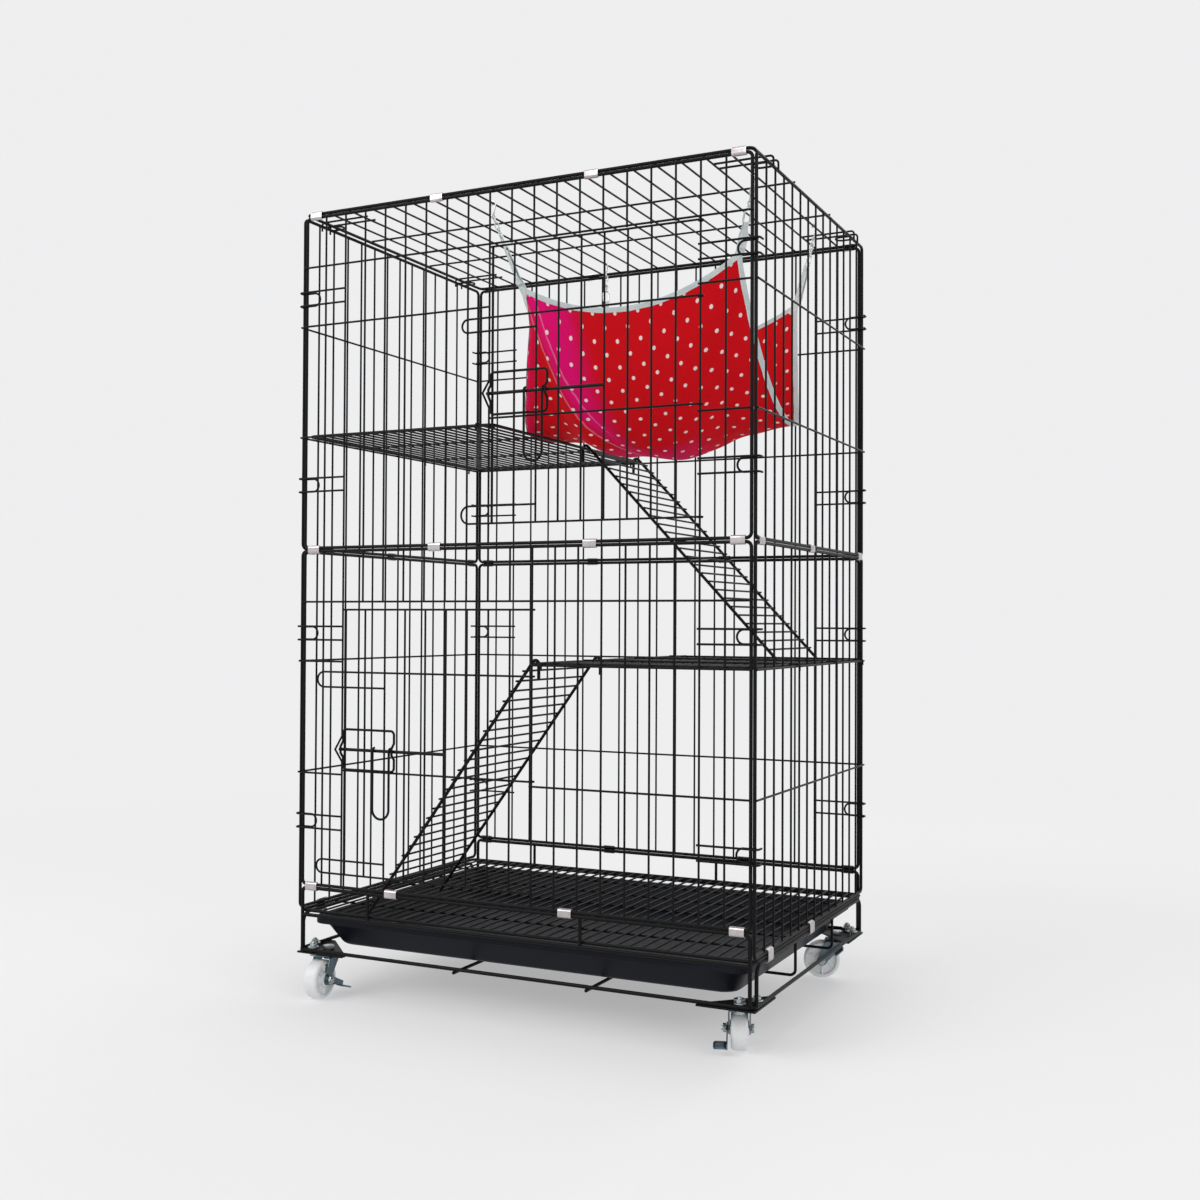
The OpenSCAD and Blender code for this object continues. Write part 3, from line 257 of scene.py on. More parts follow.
def coated_wire(name, tone, rough):
    """Black powder coat on wire: a faint orange peel, dust on what faces up and dull thin spots."""
    coat = Finish(name)
    peel = coat.noise(900.0, 2.0)
    drift = coat.noise(7.0, 4.0, 0.6)
    thin = coat.patches(0.66, 0.78, 160.0, 4.0, 0.65)
    facing = coat.parts(coat.node("NewGeometry", out="Normal"))[2]
    dust = coat.step(facing, 0.55, 1.0) * coat.step(drift, 0.35, 0.7)
    black = (tone, tone, tone * 1.06)
    worn = (tone * 3, tone * 3, tone * 3.2)
    dusty = (tone * 2 + 0.006, tone * 2 + 0.006, tone * 1.9 + 0.006)
    colour = coat.blend(coat.blend(black, worn, thin * 0.5), dusty, dust * 0.35)
    return coat.set(Base_Color=colour, Roughness=rough + drift * 0.14 + thin * 0.12 + dust * 0.1,
                    Specular_IOR_Level=0.11, Normal=coat.bump(peel, 0.00006, 0.5))


def finish_nodes(material, *names):
    """Gives CAD nodes whose shape is right their material."""
    for name in names:
        if not nodes[name].material_slots:
            nodes[name].data.materials.append(None)
        for held in nodes[name].material_slots:
            held.link = "OBJECT"
            held.material = material


thick_wire = coated_wire("black coated frame wire", 0.0040, 0.34)
fine_wire = coated_wire("black coated mesh wire", 0.0042, 0.38)
finish_nodes(thick_wire, "base_frame")

# Wires under the tray: two 3.5 mm wires hang from the side rails, and two thicker
# ones are welded under the base ring. Same black coated steel.
finish_nodes(thick_wire, "tray_support_front", "tray_support_rear", "base_cross_left", "base_cross_right")

# Floor grid: fine 2.5 mm wires welded over long stiffeners inside a 4 mm frame, laid
# loose on the base's rails. It is scuffed most, so its coat is a little duller.
floor_wire = coated_wire("black coated floor grid", 0.0055, 0.44)
finish_nodes(floor_wire, "floor_grid")

# Walls and roof: resistance welded mesh in 4 mm frames, with hooks at the ends of the
# broad walls that reach round the side walls. Black powder coat.
finish_nodes(fine_wire, "lower_front_wall", "lower_back_wall", "lower_left_wall", "lower_right_wall")
finish_nodes(fine_wire, "upper_front_wall", "upper_back_wall", "upper_left_wall", "upper_right_wall", "roof")

# Shelves and ladders: the same mesh at a closer pitch, hooked over the wall's
# crosswires and over the shelf's edge. Claws dull their coat as on the floor grid.
finish_nodes(floor_wire, "lower_shelf", "upper_shelf", "lower_ladder", "upper_ladder")

# Doors and latches: mesh doors on bent wire eyes, each with a long sliding bolt that
# runs in a wire guide and a hanging wire handle. The bolts are polished by sliding.
finish_nodes(fine_wire, "lower_door", "upper_door", "lower_latch_handle", "upper_latch_handle")
bolt_wire = coated_wire("black coated bolt wire", 0.0050, 0.27)
finish_nodes(bolt_wire, "lower_latch_bolt", "upper_latch_bolt")

# Tray: one vacuum formed sheet of black plastic with leaning walls, a flat rim, a
# turned down edge and a shallow moulded groove round its floor. It lies on two wires.
TRAY_HALF = np.array([286.0, 197.0])  # to the inner edge of the rim, in mm
TRAY_CORNER = 18.0


def fillet(corners, radii, steps=5):
    """Rounds a polyline's inner corners: each gets points of a quadratic arc between the two
    places that lie its radius away from the corner along both sides."""
    corners = np.asarray(corners, float)
    out = [corners[:1]]
    for i in range(1, len(corners) - 1):
        before, corner, after = corners[i - 1], corners[i], corners[i + 1]
        start = corner + unit(before - corner) * radii[i]
        stop = corner + unit(after - corner) * radii[i]
        t = np.linspace(0, 1, steps)[:, None]
        out.append((1 - t) ** 2 * start + 2 * t * (1 - t) * corner + t ** 2 * stop)
    return np.vstack(out + [corners[-1:]])


def drop_twins(made, distance):
    """Merges points that lie together, as at a pole, and turns every face outwards by the mesh's volume."""
    work = bmesh.new()
    work.from_mesh(made.data)
    bmesh.ops.remove_doubles(work, verts=work.verts, dist=distance)
    bmesh.ops.recalc_face_normals(work, faces=work.faces)
    work.to_mesh(made.data)
    work.free()


def crisp(made, degrees):
    """Smooth shading with sharp edges where two faces meet at more than an angle."""
    made.data.polygons.foreach_set("use_smooth", np.ones(len(made.data.polygons), bool))
    made.data.set_sharp_from_angle(angle=np.radians(degrees))


def one_piece(name, grids, loops=(False, True), tubes=(), merge=2e-6):
    """One mesh out of several grids of points in mm, joined as they are. The tubes loop both ways."""
    points, faces, first = [], [], 0
    for grid, (loop_rows, loop_columns) in [(g, (True, True)) for g in tubes] + [(g, loops) for g in grids]:
        rows, columns = grid.shape[:2]
        faces.append(grid_faces(rows, columns, loop_rows, loop_columns, first))
        points.append(grid.reshape(-1, 3))
        first += rows * columns
    made = add_mesh(name, np.vstack(points) / 1000, np.vstack(faces))
    drop_twins(made, merge)
    return made


def fit(name, grids, sharp, slot, body, stands_for, material, **form):
    """Makes one piece of grids, with sharp edges from an angle on, and enters it."""
    made = one_piece(name, grids, **form)
    crisp(made, sharp)
    enter(made, body, stands_for, material)
    return made


def tray_ring(out, z, shrink=1.0, arc=9, straight=12):
    """Rounded rectangle at a distance out from the rim's inner edge: four quarter circles of one
    radius joined by straight sides, all scaled towards the middle by shrink."""
    centre = TRAY_HALF + out - TRAY_CORNER
    turn = np.linspace(0, np.pi / 2, arc)
    quarter = np.stack([np.cos(turn), np.sin(turn)], -1) * TRAY_CORNER
    sides = []
    for k, (sx, sy) in enumerate(((1, 1), (-1, 1), (-1, -1), (1, -1))):
        cos, sin = np.cos(k * np.pi / 2), np.sin(k * np.pi / 2)
        sides.append(quarter @ np.array([[cos, sin], [-sin, cos]]) + centre * (sx, sy))
    ring = []
    for k in range(4):
        first, then = sides[k][-1], sides[(k + 1) % 4][0]
        t = np.linspace(0, 1, straight)[1:-1, None]
        ring += [sides[k], first * (1 - t) + then * t]
    ring = np.vstack(ring) * shrink
    return np.column_stack([ring, np.full(len(ring), z)])


tray_inside = fillet([[-30, 65.3], [-19.5, 65.3], [0.5, 101.05], [8, 101.05], [8, 92.05], [5.5, 92.05],
                      [5.5, 98.6], [2.6, 98.6], [-17.3, 62.8], [-30, 62.8]],
                     [0, 5, 1.6, 2.2, 0.9, 0.9, 0.9, 1.2, 5, 0])
tray_rows = [tray_ring(-30, 65.3 - dip, k) for k, dip in (
    (0.0, 0), (0.3, 0), (0.6, 0), (0.86, 0), (0.9, 0), (0.905, 0.8), (0.93, 0.8), (0.935, 0), (0.97, 0))]
tray_rows += [tray_ring(out, z) for out, z in tray_inside]
tray_rows += [tray_ring(-30, 62.8, k) for k in (0.9, 0.6, 0.3, 0.0)]


def moulded_black():
    """Black plastic with a fine leathery grain, a painted bluish highlight along the rim and fine drag
    scratches.
    """
    skin = Finish("black moulded plastic")
    place = skin.here()
    z = skin.parts(place)[2]
    cells = skin.node("TexVoronoi", {"feature": "SMOOTH_F1"}, {"Vector": place, "Scale": 620.0})
    cloud = skin.noise(5.0, 5.0, 0.6)
    # Painted bluish highlight in patches along the top of the rim, which is also made a little rougher there.
    painted_rim_glint = skin.step(z, 0.0985, 0.1012) * skin.patches(0.42, 0.7, 34.0, 5.0, 0.7)
    lines = skin.node("Mapping", None, {"Vector": place, "Scale": (3.0, 260.0, 40.0)})
    drag = skin.patches(0.62, 0.7, 1.0, 4.0, 0.65, at=lines)
    # The navy colour is the painted rim highlight, and faintly the paler drag scratches.
    colour = skin.blend(skin.blend((0.0045, 0.0052, 0.0080), (0.0080, 0.0092, 0.0145), cloud),
                        (0.060, 0.072, 0.115), painted_rim_glint * 0.6 + drag * 0.08)
    return skin.set(Base_Color=colour, Roughness=0.33 + cloud * 0.16 + painted_rim_glint * 0.1 + drag * 0.1,
                    Specular_IOR_Level=0.11, Normal=skin.bump(cells, 0.00012, 0.35))


fit("litter_tray", [np.array(tray_rows)], 50, "black_plastic", "tray", "tray", moulded_black())

# Corner plates: 2 mm steel plates across the base ring's corners that carry the
# casters, pressed and coated black like the frame.
plate_coat = coated_wire("black coated plate", 0.0055, 0.40)
finish_nodes(plate_coat, "corner_plate_fl", "corner_plate_fr", "corner_plate_bl", "corner_plate_br")

# Swivel bearings: two pressed cups under each corner plate, with the gap of the ball
# race between them. Zinc plated.
SWIVEL = np.array([278.3, 189.0])
# For each corner its signs in X and Y, where the caster trails to in degrees, and whether its brake is on
CASTERS = {"fl": (-1, -1, -86, True), "fr": (1, -1, 110, True),
           "bl": (-1, 1, 100, False), "br": (1, 1, 197, False)}
AXLE_IN, AXLE_UP = 20.0, 24.0  # the axle's distance behind the swivel and its height


def at_caster(points, corner):
    """Turns points from a caster's own frame (trail along +X, lever at +Y) about its swivel axis and
    shifts them under the corner."""
    sx, sy, trail, _ = CASTERS[corner]
    cos, sin = np.cos(np.radians(trail)), np.sin(np.radians(trail))
    x, y, z = np.moveaxis(np.asarray(points, float), -1, 0)
    return np.stack([x * cos - y * sin + sx * SWIVEL[0], x * sin + y * cos + sy * SWIVEL[1], z], -1)


def turned(profile, sides=48):
    """Surface of revolution about Z: each (radius, height) of the profile goes once round."""
    profile = np.asarray(profile, float)
    a = once_round(sides)
    r, z = profile[:, :1], profile[:, 1:]
    return np.stack([r * np.cos(a), r * np.sin(a), z + 0 * a], -1)


def plated_steel(name, tint, rough, stain):
    """Zinc plating: crystalline cloudy patches, fine brush lines and a duller film in places."""
    plate = Finish(name)
    place = plate.here()
    flakes = plate.node("TexVoronoi", None, {"Vector": place, "Scale": 190.0}, out="Color")
    flake = plate.node("SeparateColor", None, {0: flakes}, out=0)
    film = plate.patches(0.4, 0.72, 46.0, 5.0, 0.6)
    pits = plate.noise(1400.0, 2.0)
    pale = [min(1.0, part * 1.18) for part in tint]
    colour = plate.blend(plate.blend(tint, pale, flake * 0.7), stain, film * 0.45)
    return plate.set(Base_Color=colour, Metallic=0.92 - film * 0.25, Normal=plate.bump(pits, 0.00003, 0.4),
                     Roughness=rough + film * 0.16 + flake * 0.06)


zinc = plated_steel("zinc plated steel", (0.125, 0.175, 0.205), 0.27, (0.045, 0.075, 0.095))
bright_zinc = plated_steel("bright plated bolt steel", (0.38, 0.41, 0.42), 0.24, (0.15, 0.17, 0.18))

RACE = fillet([[4.05, 51.8], [11.2, 51.8], [12, 52.6], [12, 53.0], [10.9, 53.3], [10.9, 53.7],
               [12, 54.0], [12, 54.4], [11.2, 55.2], [4.05, 55.2], [4.05, 51.8]],
              [0, 0.3, 0.3, 0.15, 0.15, 0.15, 0.15, 0.3, 0.3, 0, 0], 3)
fit("swivel_raceways", [at_caster(turned(RACE), c) for c in CASTERS], 60,
    "caster_steel", "cage", "swivel_bearings", zinc)

# Kingpins, their nuts and the clamp bolts: M8 and M5 hexagon fasteners, cold headed,
# with chamfered corners and rolled threads. Bright zinc plate.


def hexagon_head(corner, low, high, hole=0.0, sides=48):
    """Hexagon with both ends chamfered to a circle, from height low to high. Its radius is that of a flat
    over the cosine of the angle from the flat's middle; rows run from pole to pole over the outside."""
    a = once_round(sides)
    six = corner * np.cos(np.pi / 6) / np.cos(np.mod(a, np.pi / 3) - np.pi / 6)
    flat, chamfer = corner * 0.872, 0.45
    rows = [(hole, low), (flat, low), (six, low + chamfer), (six, high - chamfer), (flat, high), (hole, high)]
    if hole:
        rows.append((hole, low))
    return np.array([np.stack([r * np.cos(a), r * np.sin(a), z + 0 * a], -1) for r, z in rows])


def threaded(radius, low, high, pitch, depth, sides=24):
    """Shank whose radius goes up and down once a pitch, with a chamfer at its free ends."""
    z = np.arange(low + 0.5, high - 0.5, pitch / 2)
    r = radius - depth * (np.arange(len(z)) % 2)
    profile = np.vstack([[[0, low], [radius - 0.5, low]], np.column_stack([r, z]),
                         [[radius - 0.5, high], [0, high]]])
    return turned(profile, sides)


pin = [hexagon_head(6.5, 45.6, 49.2), threaded(4.0, 48.6, 62.3, 1.0, 0.2)]
fit("kingpin_bolts", [at_caster(g, c) for c in CASTERS for g in pin], 30,
    "bolt_steel", "cage", "kingpins", bright_zinc)
pin_nut = hexagon_head(7.4, 57.8, 62.0, 4.05)
fit("kingpin_lock_nuts", [at_caster(pin_nut, c) for c in CASTERS], 30,
    "bolt_steel", "cage", "kingpin_nuts", bright_zinc)

CLAMP_PLACES = [(286.3, 209.75), (299.05, 190.0)]
WASHER = [[0, 62.6], [6.5, 62.6], [6.8, 62.8], [6.8, 63.6], [6.5, 63.8], [0, 63.8]]
clamp = [hexagon_head(4.4, 52.2, 55.2), threaded(2.5, 54.6, 69.6, 0.8, 0.18), turned(WASHER, 32),
         hexagon_head(4.6, 63.9, 67.6)]
clamp_grids = [grid + (sign_x * px, sign_y * py, 0) for sign_x in (-1, 1) for sign_y in (-1, 1)
               for px, py in CLAMP_PLACES for grid in clamp]
fit("ring_clamp_bolts", clamp_grids, 30, "bolt_steel", "cage", "clamp_bolts", bright_zinc)

# Caster forks: one blank of 1.5 mm sheet bent down on both sides of the wheel, its
# crown round in front, its legs tapering to the axle. Zinc plated with a bluish cast.
FORK_MID = 11.8  # from the wheel's middle to the middle of a leg's sheet
CROWN_MID = 50.5
CROWN_R = 13.9
FORK_BEND = 2.6
LEG_END_R = 7  # radius of a leg's end about the axle


def fork_sheet():
    """Middle surface of the fork. One way runs across the blank: up a leg, round a quarter bend, over
    the crown and down the other leg. The other way runs from its front edge to its back edge, whose
    places are a circle at the crown and at the axle and straight tapers between them."""
    leg = np.concatenate([AXLE_UP - LEG_END_R * np.cos(np.linspace(0, np.pi / 2, 9)),
                          np.linspace(AXLE_UP, CROWN_MID - FORK_BEND, 12)[1:]])
    bend = np.radians(np.linspace(0, 90, 6))[1:]
    side_y = np.concatenate([np.full(len(leg), FORK_MID), FORK_MID - FORK_BEND + FORK_BEND * np.cos(bend)])
    side_z = np.concatenate([leg, CROWN_MID - FORK_BEND + FORK_BEND * np.sin(bend)])
    over = np.linspace(FORK_MID - FORK_BEND, 0, 8)[1:]
    half_y, half_z = np.concatenate([side_y, over]), np.concatenate([side_z, np.full(len(over), CROWN_MID)])
    y = np.concatenate([-half_y, half_y[::-1][1:]])
    z = np.concatenate([half_z, half_z[::-1][1:]])
    t = np.clip((CROWN_MID - z) / (CROWN_MID - AXLE_UP), 0, 1)
    crown = -np.sqrt(np.maximum(CROWN_R ** 2 - y ** 2, 0))
    dip = np.sqrt(np.maximum(LEG_END_R ** 2 - np.minimum(z - AXLE_UP, 0) ** 2, 0))
    front = np.where(z > 47.8, crown, np.where(z > AXLE_UP, -8 * (1 - t) + 13 * t, AXLE_IN - dip))
    back = np.where(z > AXLE_UP, 15 * (1 - t) + 27 * t, AXLE_IN + dip)
    across = np.linspace(0, 1, 13)
    x = front[:, None] * (1 - across) + back[:, None] * across
    return np.stack([x, y[:, None] + 0 * x, z[:, None] + 0 * x], -1)


def sheet_metal(made, thickness, bevel=0.25):
    """Gives a middle surface its thickness on both sides and breaks its edges."""
    solid = made.modifiers.new("sheet", "SOLIDIFY")
    solid.thickness, solid.offset = thickness / 1000, 0
    edge = made.modifiers.new("broken edges", "BEVEL")
    edge.width, edge.segments, edge.limit_method, edge.angle_limit = bevel / 1000, 2, "ANGLE", np.radians(50)


for corner in CASTERS:
    fork = fit("fork_sheet_" + corner, [at_caster(fork_sheet(), corner)], 60,
               "caster_steel", "fork_" + corner, "fork_" + corner, zinc, loops=(False, False))
    sheet_metal(fork, 1.5)

# Wheels: 48 mm white nylon wheels, injection moulded in one piece with a dished web,
# six ribs from hub to rim and a thin flash line round the tread.


def wheel_surface(sides=120):
    """Closed surface about the axle. One way runs round the wheel's section, from the bore over one
    face, the tread and the other face back to the bore; the other way runs round the axle. The web
    between hub and rim stands out in a narrow bell at six angles."""
    face = fillet([[3.05, 10.7], [8.6, 10.7], [9.2, 6.0], [18.4, 6.0], [19.2, 9.5], [21.9, 9.5],
                   [24, 7.3], [24, 0.5]], [0, 0.7, 1.0, 1.0, 0.8, 1.2, 1.2, 0], 4)
    inner = np.linspace(9.9, 17.8, 6)
    cut = np.searchsorted(face[:, 0], 9.9)
    outer = face[cut:][face[cut:, 0] > 17.85]
    face = np.vstack([face[:cut], np.column_stack([inner, np.full(6, 6.0)]), outer])
    half = np.vstack([face, [[24.0, 0.25]]])
    section = np.vstack([half, half[::-1] * (1, -1), [[3.05, 10.7]]])
    a = once_round(sides)
    r, w = section[:, :1], section[:, 1:]
    rib_off = np.mod(a, np.pi / 3) - np.pi / 6
    rib = np.exp(-(rib_off * np.maximum(r, 1) / 1.15) ** 4)
    web = np.clip((r - 9.3) / 0.6, 0, 1) * np.clip((18.6 - r) / 0.6, 0, 1)
    w = w + np.sign(w) * 2.4 * rib * web
    r = r + 0 * a
    return np.stack([r * np.cos(a), w + 0 * a, r * np.sin(a)], -1) + (AXLE_IN, 0, AXLE_UP)


def white_nylon():
    """Milky nylon: slightly mottled, with a grey road film on the tread that is stronger towards the bottom
    of the wheel.
    """
    milk = Finish("white nylon")
    place = milk.here()
    mottle = milk.noise(60.0, 4.0, 0.6)
    height = milk.parts(place)[2]
    film = milk.patches(0.45, 0.75, 120.0, 5.0, 0.7)
    # low rises to 1 in the lowest 12 mm, so the grey film is darker towards the bottom of the wheel.
    low = milk.step(height, 0.012, 0.0)
    colour = milk.blend(milk.blend((0.76, 0.77, 0.77), (0.68, 0.70, 0.71), mottle),
                        (0.42, 0.43, 0.43), film * (0.12 + low * 0.3))
    return milk.set(Base_Color=colour, Roughness=0.34 + mottle * 0.12 + film * 0.1, Subsurface_Weight=0.12,
                    Subsurface_Scale=0.004, Normal=milk.bump(milk.noise(800.0, 2.0), 0.00005, 0.4))


nylon = white_nylon()
for corner in CASTERS:
    fit("nylon_wheel_" + corner, [at_caster(wheel_surface(), corner)], 55,
        "wheel_plastic", "wheel_" + corner, "wheel_" + corner, nylon)

# Axle bolts: M6 bolts through fork and wheel, a hexagon head on one side and a nut
# outside the brake lever on the other, the thread standing out of it.
FORK_OUT = 12.6
LEVER_IN = FORK_OUT + 0.3
AXLE_NUT = LEVER_IN + 1.5 + 0.3


def along_axle(points):
    """Stands a shape that was made about Z on the axle, its +Z along +Y."""
    x, y, z = np.moveaxis(points, -1, 0)
    return np.stack([x + AXLE_IN, z, AXLE_UP - y], -1)


axle_parts = [along_axle(part) for part in (
    hexagon_head(5.2, -FORK_OUT - 3.8, -FORK_OUT - 0.3),
    threaded(3.0, -FORK_OUT - 0.8, AXLE_NUT + 5.5, 1.0, 0.2),
    hexagon_head(5.2, AXLE_NUT, AXLE_NUT + 4))]
for corner in CASTERS:
    fit("axle_bolt_" + corner, [at_caster(part, corner) for part in axle_parts], 30,
        "bolt_steel", "fork_" + corner, "axle_" + corner, bright_zinc)

# Brake levers: pressed from 1.35 mm sheet, an arm beside the fork and a tread pad for
# the toe that is bent out square and ribbed for grip. Zinc plated.
LEVER_DISC, LEVER_LONG = 6.5, 34
LEVER_ON, LEVER_OFF = 200, 140  # the arm's way from the axle in degrees, 180 being towards the swivel
LEVER_MID = LEVER_IN + 0.75


def lever_surfaces(turn):
    """Two middle surfaces. The arm runs along X between a lower and an upper edge that are a circle
    round the axle and then straight. The pad runs from the arm outwards, up and down in five ribs."""
    x = np.concatenate([-LEVER_DISC * np.cos(np.linspace(0, np.pi / 2, 10)),
                        np.linspace(0, LEVER_LONG, 22)[1:]])
    disc = np.sqrt(np.maximum(LEVER_DISC ** 2 - np.minimum(x, 0) ** 2, 0))
    part = np.clip(x / LEVER_LONG, 0, 1)
    low = np.where(x < 0, -disc, -LEVER_DISC + 3.5 * part ** 0.8)
    high = np.where(x < 0, disc, LEVER_DISC - 1.9 * part - 1.6 * np.sin(np.pi * part))
    t = np.linspace(0, 1, 11)
    arm_z = low[:, None] * (1 - t) + high[:, None] * t
    arm = np.stack([x[:, None] + 0 * arm_z, np.full_like(arm_z, LEVER_MID), arm_z], -1)
    px, w = np.meshgrid(np.linspace(20.4, 33.4, 40), np.linspace(0, 1, 14), indexing="ij")
    reach = 15.2 - 2.2 * np.abs((px - 27) / 6.7) ** 6
    ribs = 0.32 * np.cos((px - 27) * 2 * np.pi / 2.6)
    ribs = ribs * np.clip((w - 0.12) / 0.1, 0, 1) * np.clip((0.97 - w) / 0.08, 0, 1)
    pad = np.stack([px, LEVER_MID + w * reach, 3.75 + ribs], -1)
    cos, sin = np.cos(np.radians(turn)), np.sin(np.radians(turn))
    return [np.stack([g[..., 0] * cos - g[..., 2] * sin + AXLE_IN, g[..., 1],
                      g[..., 0] * sin + g[..., 2] * cos + AXLE_UP], -1) for g in (arm, pad)]


for corner, (_, _, _, brake_on) in CASTERS.items():
    surfaces = lever_surfaces(LEVER_ON if brake_on else LEVER_OFF)
    lever = fit("brake_lever_sheet_" + corner, [at_caster(g, corner) for g in surfaces], 60,
                "caster_steel", "lever_" + corner, "brake_lever_" + corner, zinc, loops=(False, False))
    sheet_metal(lever, 1.35, 0.2)

# Clips: short lengths of bright spring steel bent to a C and pressed over pairs of
# frame wires: at the base, between the storeys and under the roof's edge.
clip_steel = plated_steel("bright clip steel", (0.50, 0.465, 0.465), 0.26, (0.20, 0.18, 0.18))
finish_nodes(clip_steel, "base_clips", "junction_clips", "roof_clips")

# Hammock cloth: one rectangle of red dotted cotton, about 318 x 460 mm before it was
# hung, held at its four corners. It is draped by cloth simulation from a sagging start.
FRONT_TIPS = np.array([[-33.7, -132.5, 894.4], [244.4, -100, 916.0]])
BACK_TIPS = np.array([[-50.0, 148, 884.7], [256, 80, 889.7]])
LOWS = np.array([[-48.0, -75, 717.05], [264, 55, 728.05]])
LOW_AT = (0.42, 0.55)
CUT = np.array([0.318, 0.460])


def side_edge(k, v):
    """Side edge k from its front tip over its lowest point to its back tip: from the low point the
    plan runs out quickly and then slower, and the height rises as a power of the way."""
    front = v < LOW_AT[k]
    t = np.abs(v - LOW_AT[k]) / np.where(front, LOW_AT[k], 1 - LOW_AT[k])
    rise = np.where(front[..., None], FRONT_TIPS[k], BACK_TIPS[k]) - LOWS[k]
    out = 1.35 * t - 0.35 * t * t
    return LOWS[k] + rise * np.stack([out, out, t ** 1.65], -1)


def bell(off, width):
    return np.exp(-off * off / width ** 2)


def creases(u, v):
    """Bell shaped ridges that fan out from the two tips of an edge, their way in growing as the root of
    the distance from it."""
    fan = np.sqrt(v / 0.42)
    return (bell(u - 0.29 * fan, 0.05) - 0.7 * bell(u - 0.17 * fan, 0.05) + 0.5 * bell(u - 0.5 * fan, 0.07)
            - 0.6 * bell(1 - u - 0.22 * fan, 0.06) + 0.5 * bell(1 - u - 0.42 * fan, 0.08))


def fade(v):
    """How strong the creases are along the cloth: half a sine wave, stretched by a power."""
    return np.sin(np.pi * np.minimum(1, v / 0.62) ** 0.6)


def hung_cloth(u, v):
    """The cloth before simulation: straight between its two side edges, sagging across as a parabola at
    the hems, deepest at the front one, and as its square at the belly, with creases along a normal
    that turns from front to back."""
    fold = 8 * np.minimum(1, 12 * u * (1 - u)) * (creases(u, v) * fade(v) + creases(u, 1 - v) * fade(1 - v))
    straight = side_edge(0, v) * (1 - u[..., None]) + side_edge(1, v) * u[..., None]
    deep = 34 + 10 * (1 - v) ** 4
    sag = np.stack([0 * u, 0 * u, deep * (4 * u * (1 - u)) ** (1 + np.sin(np.pi * v))], -1)
    return straight - sag - fold[..., None] * np.stack([0 * u, np.cos(np.pi * v), np.sin(np.pi * v)], -1)


CLOTH_ROWS, CLOTH_COLUMNS = 73, 49
cloth_v, cloth_u = np.meshgrid(np.linspace(0, 1, CLOTH_ROWS), np.linspace(0, 1, CLOTH_COLUMNS), indexing="ij")
cloth_start = hung_cloth(cloth_u, cloth_v) / 1000
cloth = add_mesh("hammock_red_cloth", cloth_start, grid_faces(CLOTH_ROWS, CLOTH_COLUMNS))


def drape(made, start, frames=40):
    """Runs the cloth simulation with the four corners pinned, at rest in its flat cut, and writes the
    result into the mesh. Returns the points as a grid."""
    cut = np.stack([cloth_u * CUT[0], cloth_v * CUT[1], 0 * cloth_u], -1)
    made.shape_key_add(name="hung")
    flat = made.shape_key_add(name="flat cut")
    flat.data.foreach_set("co", cut.reshape(-1).astype(np.float32))
    flat.value = 0
    corners = made.vertex_groups.new(name="corners")
    last = CLOTH_ROWS * CLOTH_COLUMNS
    corners.add([0, CLOTH_COLUMNS - 1, last - CLOTH_COLUMNS, last - 1], 1.0, "REPLACE")
    cotton = made.modifiers.new("cotton", "CLOTH")
    for name, value in {
            "quality": 8, "mass": 0.10, "air_damping": 3, "tension_stiffness": 40,
            "compression_stiffness": 30, "shear_stiffness": 8, "bending_stiffness": 0.02,
            "tension_damping": 10, "compression_damping": 10, "shear_damping": 8, "bending_damping": 0.5,
            "vertex_group_mass": "corners", "pin_stiffness": 1.0, "rest_shape_key": flat}.items():
        setattr(cotton.settings, name, value)
    cotton.collision_settings.use_collision = False
    cotton.collision_settings.use_self_collision = False
    cotton.point_cache.frame_start, cotton.point_cache.frame_end = 1, frames
    scene.frame_start, scene.frame_end = 1, frames
    for number in range(1, frames + 1):
        scene.frame_set(number)
    solved = made.evaluated_get(bpy.context.evaluated_depsgraph_get())
    points = np.zeros(start.size, np.float32)
    solved.data.vertices.foreach_get("co", points)
    made.modifiers.remove(cotton)
    made.shape_key_clear()
    made.vertex_groups.clear()
    made.data.vertices.foreach_set("co", points)
    made.data.update()
    scene.frame_set(1)
    return points.reshape(start.shape).astype(float)


BULGE, SHELF_TOP = 0.030, 0.7152
SHELF_EDGE = -0.020  # in X; the shelf carries the cloth to the left of it
ROLL = 0.0058


def grid_normals(points):
    """Unit normals of a grid from the cross product of its two directions; they face into the hammock."""
    down, along = np.gradient(points, axis=0), np.gradient(points, axis=1)
    return unit(np.cross(along, down))


def lift_to_shelf(p):
    """How far each point has to rise to lie on the upper shelf, which ends in X at its edge."""
    return np.maximum(SHELF_TOP - p[..., 2], 0) * np.clip((SHELF_EDGE - p[..., 0]) / 0.006, 0, 1)


def settle(made, points):
    """Shapes the draped cloth where it rests on things that the simulation leaves out: its left side
    bulges by a bell, what lies over the upper shelf is lifted clear of the wires, and the left hem
    rolls in over two columns of the grid, by less towards the tips."""
    p = points.copy()
    p[..., 0] -= BULGE * np.sin(np.pi * np.minimum(cloth_v * 1.15, 1)) ** 1.5 * (1 - cloth_u) ** 4
    p[..., 2] += lift_to_shelf(p)
    right = unit(p[:, 3] - p[:, 2])
    inside = grid_normals(p)[:, 2]
    ease = np.clip(np.minimum(cloth_v[:, 0], 1 - cloth_v[:, 0]) / 0.08, 0, 1)[:, None]
    for column, turn in ((1, 40), (0, 95)):
        angle = np.radians(turn)
        rolled = p[:, column + 1] - ROLL * (right * np.cos(angle) - inside * np.sin(angle))
        p[:, column] += (rolled - p[:, column]) * smooth(ease)
    p[..., 2] += lift_to_shelf(p)
    made.data.vertices.foreach_set("co", p.reshape(-1).astype(np.float32))
    made.data.update()
    return p


cloth_grid = settle(cloth, drape(cloth, cloth_start))


